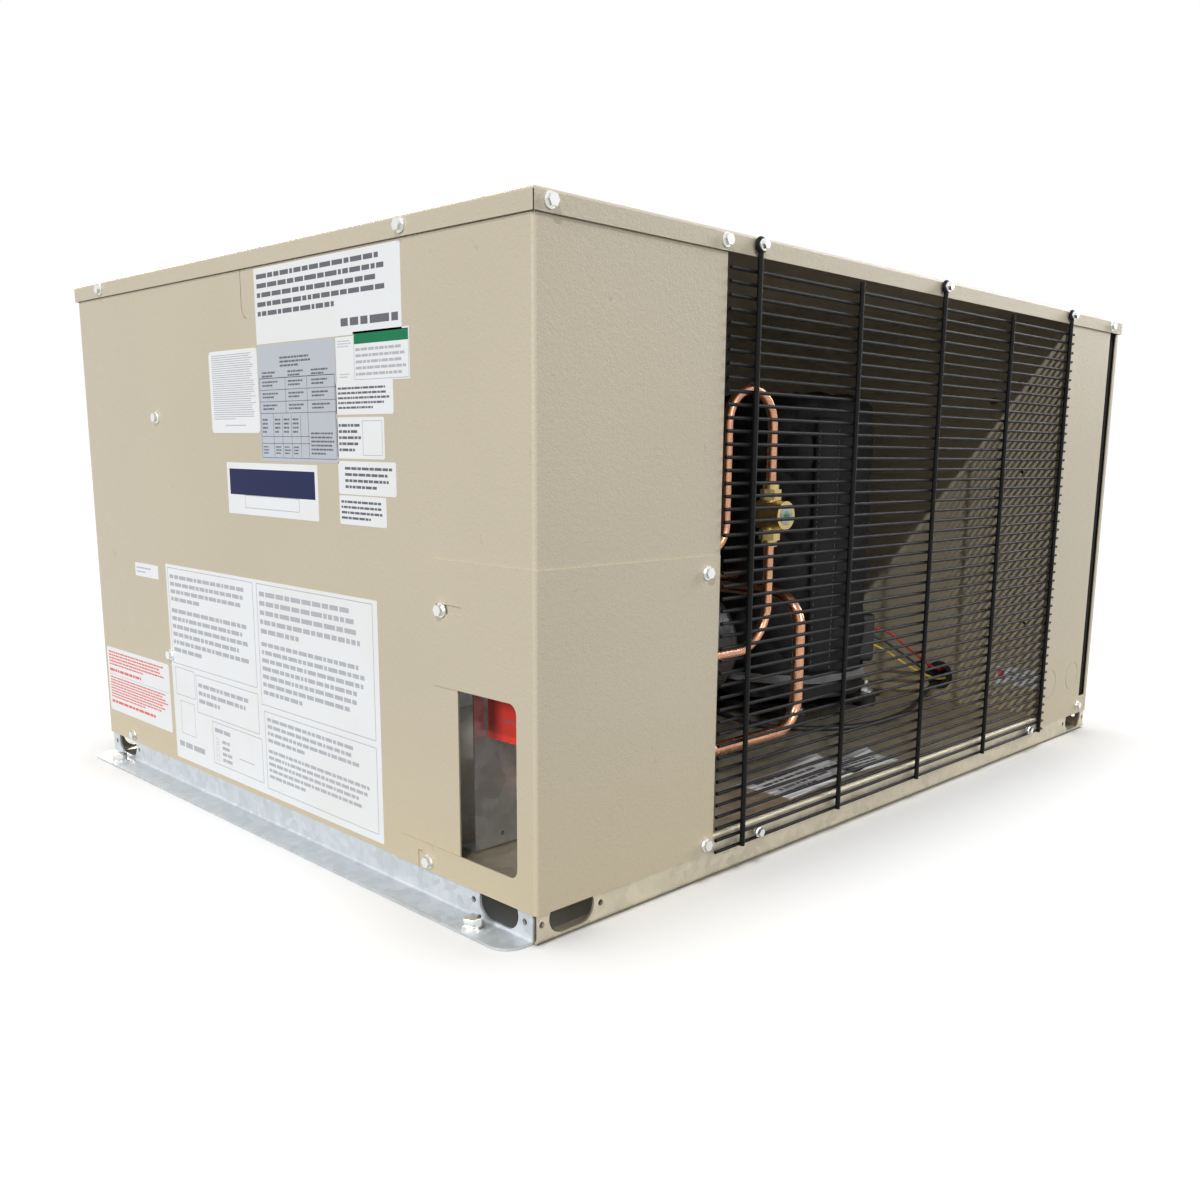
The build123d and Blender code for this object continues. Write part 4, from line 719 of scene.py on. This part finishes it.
class UNIT_OT_side_labels(bpy.types.Operator):
    """Lay the plain labels on the left face"""

    bl_idname = "unit.side_labels"
    bl_label = "Side labels"

    def execute(self, context):
        notice = side_label("notice_label", -226, -12, 435, 497, 0.0)
        notice.rows("dark", 0.02, 0.05, 0.97, 0.66, 5, 0.5, 0.6)
        notice.rows("dark", 0.62, 0.78, 0.98, 0.9, 1, 0.8, 1.0)
        notice.done()

        guide = side_label("guide_label", -11, 78, 361, 433, 0.004)
        guide.rows("grey", 0.06, 0.04, 0.96, 0.84, 30, 0.42, 0.5, 6)
        guide.rule("grey", 0.3, 0.9, 0.72, 0.9, 0.0008)
        guide.done()

        plate = side_label(
            "data_plate",
            -135,
            -12,
            337,
            434,
            0.0,
            shared(paper, "data_plate_stock", tuple(colours().data_plate), 0.3),
        )
        for top in (0.28, 0.38, 0.48, 0.58, 0.78, 0.84):
            plate.rule("dark", 0.01, top, 0.99 if top < 0.6 else 0.66, top)
        for left, top, bottom in (
            (0.36, 0.28, 0.58),
            (0.64, 0.28, 0.96),
            (0.18, 0.58, 0.96),
            (0.3, 0.6, 0.96),
            (0.42, 0.6, 0.96),
            (0.54, 0.6, 0.96),
        ):
            plate.rule("dark", left, top, left, bottom)
        plate.frame("dark", 0.01, 0.28, 0.98, 0.965)
        plate.rows("dark", 0.3, 0.1, 0.7, 0.2, 3, 0.5, 0.6)
        for left in (0.05, 0.4, 0.7):
            for top in (0.22, 0.3, 0.4, 0.5):
                plate.rows("dark", left, top, left + 0.22, top + 0.06, 2, 0.5, 0.7)
        for left in (0.03, 0.2, 0.32, 0.44):
            plate.rows("dark", left, 0.62, left + 0.08, 0.76, 4, 0.45, 0.8)
            plate.rows("dark", left, 0.86, left + 0.08, 0.94, 3, 0.45, 0.8)
        plate.rows("dark", 0.67, 0.74, 0.96, 0.94, 6, 0.45, 0.6)
        plate.done()

        name_place = side_label("name_place", -102, 54, 289, 335, 0.001)
        name_place.block("navy", 0.03, 0.12, 0.97, 0.62)
        name_place.frame("grey", 0.2, 0.62, 0.8, 0.86, 0.0006)
        name_place.done()

        part_label = side_label("part_label", 215, 271, 213, 227, 0.001)
        part_label.rows("grey", 0.06, 0.2, 0.7, 0.8, 2, 0.35, 0.6)
        part_label.done()

        self.service_notes()
        self.care_block()

        repair = side_label("red_note", 205, 364, 52, 125, 0.003)
        repair.rows("red", 0.03, 0.05, 0.96, 0.29, 5, 0.5, 0.6)
        repair.rows("red", 0.03, 0.33, 0.55, 0.38, 1, 0.8, 1.0)
        repair.rule("grey", 0.02, 0.42, 0.98, 0.42)
        repair.rows("red", 0.03, 0.45, 0.96, 0.8, 8, 0.5, 0.6)
        repair.rows("red", 0.03, 0.83, 0.75, 0.88, 1, 0.8, 1.0)
        repair.done()
        return {"FINISHED"}

    def service_notes(self):
        """The column of small white notes, front of the data plate."""
        green = side_label("green_note", -235, -161, 400, 437, 0.0)
        green.block("green", 0.02, 0.03, 0.98, 0.25)
        green.rows("grey", 0.04, 0.3, 0.96, 0.92, 5, 0.45, 0.9)
        green.frame("grey", 0.01, 0.03, 0.98, 0.96)
        green.done()
        mark = side_label("mark_place", -161, -136, 400, 434, 0.0)
        mark.rows("grey", 0.1, 0.06, 0.9, 0.24, 3, 0.4, 0.8, 2)
        mark.rows("grey", 0.2, 0.8, 0.8, 0.92, 2, 0.4, 0.8, 2)
        mark.done()
        for name, front, low, high, count in (
            ("note_upper", -213, 375, 400, 5),
            ("note_middle", -200, 341, 373, 5),
            ("note_lower", -214, 313, 339, 4),
            ("note_foot", -200, 289, 312, 4),
        ):
            note = side_label(name, front, -134, low, high, 0.002)
            left = 0.12 if name == "note_lower" else 0.04
            right = 0.52 if name == "note_middle" else 0.94
            note.rows("dark", left, 0.12, right, 0.86, count, 0.45, 0.7)
            if name == "note_middle":
                note.frame("grey", 0.55, 0.08, 0.95, 0.9)
            note.done()

    def care_block(self):
        """The large label of bordered boxes."""
        care = side_label("care_label", -183, 197, 29, 231, 0.001)
        boxes = {
            (0.01, 0.015, 0.47, 0.5): ((0.04, 0.19, 4), (0.21, 0.45, 6)),
            (0.49, 0.015, 0.98, 0.57): ((0.04, 0.25, 5), (0.27, 0.53, 7)),
            (0.50, 0.6, 0.98, 0.965): ((0.62, 0.75, 4), (0.77, 0.92, 5)),
            (0.14, 0.53, 0.47, 0.72): ((0.56, 0.68, 3),),
            (0.02, 0.52, 0.13, 0.66): (),
            (0.22, 0.74, 0.48, 0.95): ((0.76, 0.8, 1),),
        }
        for box, blocks in boxes.items():
            care.frame("grey", *box, thick=0.0007)
            for top, bottom, count in blocks:
                right = box[2] - 0.03
                care.rows("grey", box[0] + 0.012, top, right, bottom, count, 0.5, 0.4, 4)
        for top in (0.82, 0.85, 0.88, 0.91):
            care.frame("grey", 0.235, top, 0.25, top + 0.02, 0.0004)
            care.rows("grey", 0.27, top, 0.32, top + 0.02, 1, 0.8, 1.0)
        care.rule("grey", 0.36, 0.88, 0.44, 0.88, 0.0008)
        care.frame("grey", 0.04, 0.69, 0.12, 0.86, 0.0006)
        care.rows("grey", 0.02, 0.9, 0.18, 0.94, 1, 0.7, 1.0)
        care.done()


class UNIT_OT_hold_down_bolts(bpy.types.Operator):
    """Set a bolt, spring washer and flat washer in each hold-down hole"""

    bl_idname = "unit.hold_down_bolts"
    bl_label = "Hold-down bolts"

    def execute(self, context):
        rail_top = 0.002
        low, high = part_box("left_foot_rail")
        holes = {"left": low.x + 0.0105, "right": -(low.x + 0.0105)}
        for side, x in holes.items():
            for end, y in (("front", -0.316), ("back", 0.316)):
                shape = bmesh.new()
                seat = Matrix.Translation((x, y, rail_top))
                washer(shape, sizes().bolt_flange * 0.78, 0.0016, seat, 0.97)
                seat = seat @ Matrix.Translation((0, 0, 0.0016))
                washer(shape, sizes().bolt_af * 0.54, 0.0018, seat, 1.0)
                seat = seat @ Matrix.Translation((0, 0, 0.0018))
                seat = seat @ Matrix.Rotation(0.4 if end == "front" else 1.1, 4, "Z")
                hex_head(shape, sizes().bolt_af * 0.9, 0.0055, seat)
                piece(f"hold_down_{side}_{end}", shape, finish_of("zinc_screws"), smooth=True)
        return {"FINISHED"}


class UNIT_OT_fin_pack(bpy.types.Operator):
    """Fill the coil with thin folded fins on its tubes"""

    bl_idname = "unit.fin_pack"
    bl_label = "Fin pack"

    def execute(self, context):
        low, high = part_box("coil_fins")
        pitch = sizes().fin_pitch
        fin = bmesh.new()
        bmesh.ops.create_grid(
            fin,
            x_segments=8,
            y_segments=1,
            size=0.5,
            matrix=standing(
                Vector((low.x + pitch / 2, (low.y + high.y) / 2, (low.z + high.z) / 2)),
                Vector((0, high.y - low.y, 0)),
                Vector((0, 0, high.z - low.z)),
                Vector((1, 0, 0)),
            ),
        )
        ridge = (high.y - low.y) / 8
        for vert in fin.verts:
            if round((vert.co.y - low.y) / ridge) % 2:
                vert.co.x += 0.0006
        fins = piece("fin_pack", fin, finish_of("fin_aluminium"), closed=False)
        row = fins.modifiers.new("row of fins", "ARRAY")
        row.use_relative_offset = False
        row.use_constant_offset = True
        row.constant_offset_displace = (pitch, 0.0, 0.0)
        row.count = int((high.x - low.x - 0.0008) / pitch)
        wall = fins.modifiers.new("fin wall", "SOLIDIFY")
        wall.thickness = sizes().fin_t
        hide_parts("coil_fins")

        core = bmesh.new()
        bmesh.ops.create_cube(
            core,
            size=1.0,
            matrix=Matrix.Translation((low + high) / 2)
            @ Matrix.Diagonal(
                (high.x - low.x - 0.002, high.y - low.y - 0.003, high.z - low.z - 0.003, 1.0)
            ),
        )
        shadow = shared(moulded, "fin_shadow", (0.16, 0.16, 0.17), 0.7)
        piece("fin_depth", core, shadow)
        return {"FINISHED"}


class UNIT_OT_sound_jacket(bpy.types.Operator):
    """Sew the quilted sound jacket round the compressor"""

    bl_idname = "unit.sound_jacket"
    bl_label = "Sound jacket"

    dome = 0.03
    pads_round = 9
    flap_angle = math.radians(-118)
    flap_half = 0.017

    def execute(self, context):
        low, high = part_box("compressor_jacket")
        self.middle = Vector(((low.x + high.x) / 2, (low.y + high.y) / 2, 0.0))
        self.radius = (high.x - low.x) / 2
        self.low, self.high = low.z, high.z
        self.pad = 2 * math.pi * self.radius / self.pads_round
        self.make_shell()
        self.make_flap()
        self.make_stitches()
        self.make_clips()
        return {"FINISHED"}

    def on_wall(self, along, z, lift):
        """A point of the wall: metres round from the flap, height and lift."""
        angle = self.flap_angle + along / self.radius
        reach = self.radius + lift
        return self.middle + Vector((reach * math.cos(angle), reach * math.sin(angle), z))

    def draw_in(self, along, z):
        """How far the sewn seams draw the wall in here."""
        slant = abs(math.sin(math.pi * (along + z) / self.pad))
        other = abs(math.sin(math.pi * (along - z) / self.pad))
        return sizes().quilt_depth * (1 - (slant * other) ** 0.42)

    def make_shell(self):
        shell = bmesh.new()
        corner = [
            shell.verts.new((reach, 0.0, z))
            for reach, z in (
                (self.radius - 0.0125, self.low),
                (self.radius, self.low),
                (self.radius, self.high),
                (0.0, self.high),
            )
        ]
        edges = [shell.edges.new(pair) for pair in zip(corner, corner[1:])]
        bmesh.ops.bevel(
            shell,
            geom=[corner[2]],
            offset=self.dome,
            offset_type="OFFSET",
            affect="VERTICES",
            segments=8,
            profile=0.5,
            material=-1,
        )
        wall = [
            edge for edge in shell.edges
            if edge.is_valid and all(abs(vert.co.x - self.radius) < 1e-6 for vert in edge.verts)
        ]
        bmesh.ops.subdivide_edges(shell, edges=wall, cuts=90)
        top = [
            edge for edge in shell.edges
            if all(abs(vert.co.z - self.high) < 1e-6 for vert in edge.verts)
        ]
        bmesh.ops.subdivide_edges(shell, edges=top, cuts=14)
        bmesh.ops.spin(
            shell,
            geom=shell.verts[:] + shell.edges[:],
            cent=(0, 0, 0),
            axis=(0, 0, 1),
            angle=2 * math.pi,
            steps=252,
            use_merge=True,
        )
        bmesh.ops.remove_doubles(shell, verts=shell.verts[:], dist=1e-6)
        unrolled = shell.loops.layers.uv.new("unrolled")
        for face in shell.faces:
            seam = face.calc_center_median()
            home = math.atan2(seam.y, seam.x)
            for loop in face.loops:
                angle = math.atan2(loop.vert.co.y, loop.vert.co.x)
                angle += 2 * math.pi * round((home - angle) / (2 * math.pi))
                flat = loop.vert.co.xy.length
                loop[unrolled].uv = (angle * self.radius, loop.vert.co.z + self.radius - flat)
        chance = random.Random(7)
        lean = [chance.uniform(-0.0015, 0.0015) for number in range(6)]
        for vert in shell.verts:
            flat = vert.co.xy.length
            angle = math.atan2(vert.co.y, vert.co.x)
            z = vert.co.z
            outer = flat > self.radius * 0.9 or z > self.high - self.dome
            if not outer or flat < 1e-5:
                continue
            along = (angle - self.flap_angle) * self.radius
            drawn = self.draw_in(along, z + self.radius - flat)
            sway = sum(
                size * math.sin((number + 2) * angle + 9 * z)
                for number, size in enumerate(lean)
            ) - 0.002
            fade = min(1.0, flat / (self.radius * 0.3))
            edge = min(1.0, (z - self.low) / 0.012)
            inward = (drawn * edge - sway * 0.5) * fade
            wall_share = min(1.0, max(0.0, (self.high - z) / self.dome))
            shrink = max(0.0, inward) * wall_share
            vert.co.x -= shrink * vert.co.x / flat
            vert.co.y -= shrink * vert.co.y / flat
            vert.co.z -= max(0.0, inward) * (1.0 - wall_share)
        bmesh.ops.translate(shell, vec=self.middle, verts=shell.verts[:])
        jacket = piece(
            "sound_jacket", shell, finish_of("jacket_fabric"), smooth=True
        )
        jacket.data.set_sharp_from_angle(angle=math.radians(75))
        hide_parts("compressor_jacket")

    def make_flap(self):
        """The overlapping edge that closes the jacket down its front."""
        flap = bmesh.new()
        bottom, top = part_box("jacket_strap")[1].z + 0.003, self.high - self.dome
        bmesh.ops.create_grid(flap, x_segments=10, y_segments=60, size=0.5)
        unrolled = flap.loops.layers.uv.new("unrolled")
        for vert in flap.verts:
            along = vert.co.x * 2 * self.flap_half
            z = bottom + (vert.co.y + 0.5) * (top - bottom)
            swell = 0.0011 * math.cos(math.pi * vert.co.x) + 0.0004 * math.sin(z * 120)
            vert.co = self.on_wall(along, z, 0.0004 + swell)
        for face in flap.faces:
            for loop in face.loops:
                point = loop.vert.co - self.middle
                loop[unrolled].uv = (math.atan2(point.y, point.x) * self.radius, point.z)
        closing = piece(
            "jacket_flap",
            flap,
            finish_of("jacket_fabric"),
            smooth=True,
            closed=False,
        )
        wall = closing.modifiers.new("cloth", "SOLIDIFY")
        wall.thickness = 0.0012

    def make_stitches(self):
        """Two lines of pale stitches down the flap."""
        thread = bmesh.new()
        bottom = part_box("jacket_strap")[1].z + 0.006
        top = self.high - self.dome - 0.004
        count = 42
        pitch = (top - bottom) / count
        for side in (-0.7, 0.7):
            for number in range(count):
                along = side * self.flap_half
                here = self.on_wall(along, bottom + pitch * (number + 0.5), 0.0011)
                bmesh.ops.create_uvsphere(
                    thread,
                    u_segments=6,
                    v_segments=4,
                    radius=0.5,
                    matrix=Matrix.Translation(here)
                    @ Matrix.Diagonal((0.0011, 0.0011, pitch * 0.62, 1.0)),
                )
        piece(
            "jacket_stitches",
            thread,
            shared(web_cloth, "seam_thread", (0.2, 0.2, 0.19)),
            smooth=True,
        )

    def make_clips(self):
        """Bright wire clips that hold the flap shut."""
        clips = bmesh.new()
        for z in (0.118, 0.19, 0.262, 0.334):
            here = self.on_wall(0.0, z, 0.0018)
            out = (here - self.middle - Vector((0, 0, z))).normalized()
            side = Vector((0, 0, 1)).cross(out)
            place = standing(here, side, Vector((0, 0, 1)), out)
            made = bmesh.ops.create_circle(
                clips,
                segments=8,
                radius=0.0009,
                matrix=place
                @ Matrix.Translation((0.0085, 0.0, 0.0))
                @ Matrix.Rotation(math.pi / 2, 4, "X"),
            )
            ring = {edge for vert in made["verts"] for edge in vert.link_edges}
            bmesh.ops.spin(
                clips,
                geom=made["verts"] + list(ring),
                cent=here,
                axis=place.to_3x3() @ Vector((0, 1, 0)),
                angle=2 * math.pi,
                steps=28,
                use_merge=True,
            )
            flat = standing(here, side, Vector((0, 0, 1)), out)
            for vert in clips.verts:
                seen = flat.inverted() @ vert.co
                if abs(seen.y) < 0.002 and seen.length < 0.012:
                    seen.z *= 0.22
                    vert.co = flat @ seen
        bmesh.ops.remove_doubles(clips, verts=clips.verts[:], dist=1e-6)
        piece("jacket_clips", clips, finish_of("zinc_screws"), smooth=True)


class UNIT_OT_papers(bpy.types.Operator):
    """Put the red card, the loose labels and the small stickers inside the cabinet"""

    bl_idname = "unit.papers"
    bl_label = "Card and papers"

    def execute(self, context):
        self.red_card()
        self.loose_labels()
        self.partition_sticker()
        self.receiver_band()
        return {"FINISHED"}

    def red_card(self):
        """A red card pushed over the sealed end of the liquid stub."""
        stub_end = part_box("line_stubs")[0].x
        low_z, high_z = 0.1305, 0.192
        front, back = -0.338, -0.2735
        place = standing(
            Vector((stub_end - 0.0003, (front + back) / 2, (low_z + high_z) / 2)),
            Vector((0, -1, 0)),
            Vector((0, 0, 1)),
            Vector((-1, 0, 0)),
        )
        shape = card_shape(back - front, high_z - low_z, 0.001, 0.0004, place)
        piece("red_card", shape, shared(paper, "red_card_stock", tuple(colours().card), 0.5))
        mark = Print(
            "red_card_line",
            place @ Matrix.Translation((0, 0, 0.0004)),
            back - front,
            high_z - low_z,
        )
        mark.rule("dark", 0.24, 0.72, 0.8, 0.72, 0.0009)
        mark.done()

    def loose_labels(self):
        """Spare labels left on the floor of the pan, curling at one corner."""
        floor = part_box("base_pan")[0].z + 0.0383
        stock = shared(paper, "label_stock", tuple(colours().paper))
        for name, x, y, width, height, turn in (
            ("spare_label_wide", -0.092, -0.325, 0.135, 0.062, 0.05),
            ("spare_label_small", -0.004, -0.333, 0.078, 0.045, -0.06),
        ):
            place = Matrix.Translation((x, y, floor)) @ Matrix.Rotation(turn, 4, "Z")
            sheet = bmesh.new()
            bmesh.ops.create_grid(sheet, x_segments=14, y_segments=6, size=0.5)
            for vert in sheet.verts:
                lift = max(0.0, vert.co.x + vert.co.y - 0.4) ** 2 * 0.02
                vert.co = place @ Vector((vert.co.x * width, vert.co.y * height, lift))
            made = piece(name, sheet, stock, smooth=True, closed=False)
            wall = made.modifiers.new("paper", "SOLIDIFY")
            wall.thickness = 0.0002
            wall.offset = 0.0
            mark = Print(
                f"{name}_print",
                place @ Matrix.Translation((0, 0, 0.0002)),
                width * 0.82,
                height * 0.9,
            )
            mark.rows("dark", 0.02, 0.1, 0.96, 0.9, 5, 0.5, 0.5)
            mark.done()

    def partition_sticker(self):
        """A white sticker low on the partition, with a red corner."""
        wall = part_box("partition_panel")[0].x - 0.00002
        sticker = label(
            "partition_sticker",
            Vector((wall, -0.3405, 0.082)),
            Vector((0, -1, 0)),
            Vector((0, 0, 1)),
            0.057,
            0.022,
            0.001,
        )
        sticker.block("red", 0.06, 0.2, 0.2, 0.75)
        sticker.rows("grey", 0.28, 0.18, 0.94, 0.82, 4, 0.45, 0.6)
        sticker.done()

    def receiver_band(self):
        """A white band along the front of the receiver."""
        low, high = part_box("receiver")
        radius = 0.057 + 0.0002
        axis_y, axis_z = -0.194, 0.158
        left, right = low.x + 0.02, low.x + 0.108
        band = bmesh.new()
        bmesh.ops.create_grid(band, x_segments=4, y_segments=8, size=0.5)
        for vert in band.verts:
            x = left + (vert.co.x + 0.5) * (right - left)
            angle = vert.co.y * 0.3
            vert.co = Vector(
                (x, axis_y - radius * math.cos(angle), axis_z + radius * math.sin(angle))
            )
        stock = shared(paper, "label_stock", tuple(colours().paper))
        made = piece("receiver_band", band, stock, smooth=True, closed=False)
        wall = made.modifiers.new("paper", "SOLIDIFY")
        wall.thickness = 0.0002
        wall.offset = 0.0


class UNIT_OT_gap_shade_strip(bpy.types.Operator):
    """Fill the slot beside the right front panel with a black strip: painted shade of the open gap
    """

    bl_idname = "unit.edge_gasket"
    bl_label = "Edge gasket"

    def execute(self, context):
        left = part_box("right_front_panel")[1].x
        right = left + 0.015
        low, high = 0.04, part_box("lid")[0].z - 0.002
        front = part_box("right_front_panel")[0].y
        shade_strip = bmesh.new()
        bmesh.ops.create_cube(
            shade_strip,
            size=1.0,
            matrix=Matrix.Translation(((left + right) / 2, front + 0.0075, (low + high) / 2))
            @ Matrix.Diagonal((right - left - 0.001, 0.006, high - low, 1.0)),
        )
        bmesh.ops.bevel(
            shade_strip,
            geom=[edge for edge in shade_strip.edges if abs((edge.verts[0].co - edge.verts[1].co).z) > 0.1],
            offset=0.002,
            offset_type="OFFSET",
            affect="EDGES",
            segments=3,
            profile=0.5,
            material=-1,
        )
        # A black rubber strip that stands in for the shade inside the open slot.
        piece("edge_gasket", shade_strip, finish_of("rubber"))
        return {"FINISHED"}


class UNIT_OT_stage(bpy.types.Operator):
    """Lay the floor, set the lamps and the camera"""

    bl_idname = "unit.stage"
    bl_label = "Stage"

    def execute(self, context):
        scene = context.scene
        scene.view_settings.view_transform = "Standard"
        floor = self.floor()
        self.room(scene)
        self.lamps(scene, floor)
        self.camera(scene)
        return {"FINISHED"}

    def floor(self):
        shape = bmesh.new()
        bmesh.ops.create_circle(
            shape,
            cap_ends=True,
            segments=96,
            radius=60.0,
            matrix=Matrix.Translation((0.0, 0.0, -0.0002)),
        )
        mesh = bpy.data.meshes.new("floor")
        shape.to_mesh(mesh)
        shape.free()
        paint = Recipe("floor_paint")
        cloud = paint.noise(paint.place(), 1.5, 2.0)
        tone = paint.mix((0.9, 0.9, 0.9), (0.91, 0.91, 0.91), cloud)
        mesh.materials.append(paint.surface(tone, 0.9, specular_ior_level=0.0))
        floor = bpy.data.objects.new("floor", mesh)
        floor.visible_diffuse = False
        bpy.context.collection.objects.link(floor)
        return floor

    def room(self, scene):
        """An even room that the camera, metal and glass see as white."""
        room = Recipe("room", "worlds")
        seen = room.node("ShaderNodeLightPath", {}, "Is Camera Ray")
        for ray in ("Is Glossy Ray", "Is Transmission Ray"):
            seen = seen.larger(room.node("ShaderNodeLightPath", {}, ray))
        strength = room.between(seen, 0.0, 1.0, 0.15, 1.0)
        light = room.node(
            "ShaderNodeBackground", {"Color": (1.0, 1.0, 1.0, 1.0), "Strength": strength}
        )
        room.node("ShaderNodeOutputWorld", {"Surface": light})
        scene.world = room.made

    def lamps(self, scene, floor):
        """Keys for the two near sides, a small sharp lamp, soft fills, and a wash for the floor."""
        for name, direction, strength, spread, on_floor in (
            ("left_key", Vector((0.93, -0.04, -0.36)), 1.93, 20.0, False),
            ("front_key", Vector((-0.12, 0.93, -0.35)), 1.02, 20.0, False),
            ("shop_lamp", Vector((0.615, 0.476, -0.629)), 1.2, 1.0, False),
            ("back_fill", Vector((-0.25, -0.86, -0.44)), 2.2, 30.0, False),
            ("right_fill", Vector((-0.9, 0.2, -0.38)), 1.9, 30.0, False),
            ("floor_wash", Vector((0.0, 0.0, -1.0)), 3.25, 32.0, True),
        ):
            data = bpy.data.lights.new(name, "SUN")
            data.energy = strength
            data.angle = math.radians(spread)
            lamp = bpy.data.objects.new(name, data)
            lamp.location = -4 * direction
            lamp.rotation_euler = direction.to_track_quat("-Z", "Y").to_euler()
            scene.collection.objects.link(lamp)
            group = bpy.data.collections.new(f"{name}_reach")
            group.objects.link(floor)
            lamp.light_linking.receiver_collection = group
            state = "INCLUDE" if on_floor else "EXCLUDE"
            group.collection_objects[0].light_linking.link_state = state

    def camera(self, scene):
        data = bpy.data.cameras.new("camera")
        data.lens = 33.85
        data.sensor_width = 36.0
        data.shift_x = -0.03306
        data.shift_y = 0.05557
        data.clip_end = 200.0
        camera = bpy.data.objects.new("camera", data)
        yaw, pitch, roll = 0.811958, 0.189288, 0.0137595
        turn = (
            Matrix.Rotation(-yaw, 4, "Z")
            @ Matrix.Rotation(math.pi / 2 - pitch, 4, "X")
            @ Matrix.Rotation(roll, 4, "Z")
        )
        camera.matrix_world = Matrix.Translation((-0.9766, -0.9426, 0.3505)) @ turn
        scene.collection.objects.link(camera)
        scene.camera = camera


class UNIT_PT_panel(bpy.types.Panel):
    """The unit's pieces, sizes and colours"""

    bl_idname = "UNIT_PT_panel"
    bl_label = "Condensing unit"
    bl_space_type = "VIEW_3D"
    bl_region_type = "UI"
    bl_category = "Unit"

    def draw(self, context):
        for group in (context.scene.unit_colours, context.scene.unit_sizes):
            box = self.layout.box()
            for name in type(group).__annotations__:
                box.prop(group, name)
        for operator in OPERATORS:
            self.layout.operator(operator.bl_idname)


OPERATORS = (
    UNIT_OT_finishes,
    UNIT_OT_fin_pack,
    UNIT_OT_sound_jacket,
    UNIT_OT_side_labels,
    UNIT_OT_hold_down_bolts,
    UNIT_OT_papers,
    UNIT_OT_gap_shade_strip,
    UNIT_OT_stage,
)
CLASSES = (UnitColours, UnitSizes, *OPERATORS, UNIT_PT_panel)


def register():
    for one in CLASSES:
        bpy.utils.register_class(one)
    bpy.types.Scene.unit_colours = bpy.props.PointerProperty(type=UnitColours)
    bpy.types.Scene.unit_sizes = bpy.props.PointerProperty(type=UnitSizes)


def unregister():
    del bpy.types.Scene.unit_sizes
    del bpy.types.Scene.unit_colours
    for one in reversed(CLASSES):
        bpy.utils.unregister_class(one)


def main():
    register()
    bpy.ops.unit.finishes()
    bpy.ops.unit.fin_pack()
    bpy.ops.unit.sound_jacket()
    bpy.ops.unit.side_labels()
    bpy.ops.unit.hold_down_bolts()
    bpy.ops.unit.papers()
    bpy.ops.unit.edge_gasket()
    bpy.ops.unit.stage()


if __name__ == "__main__":
    main()
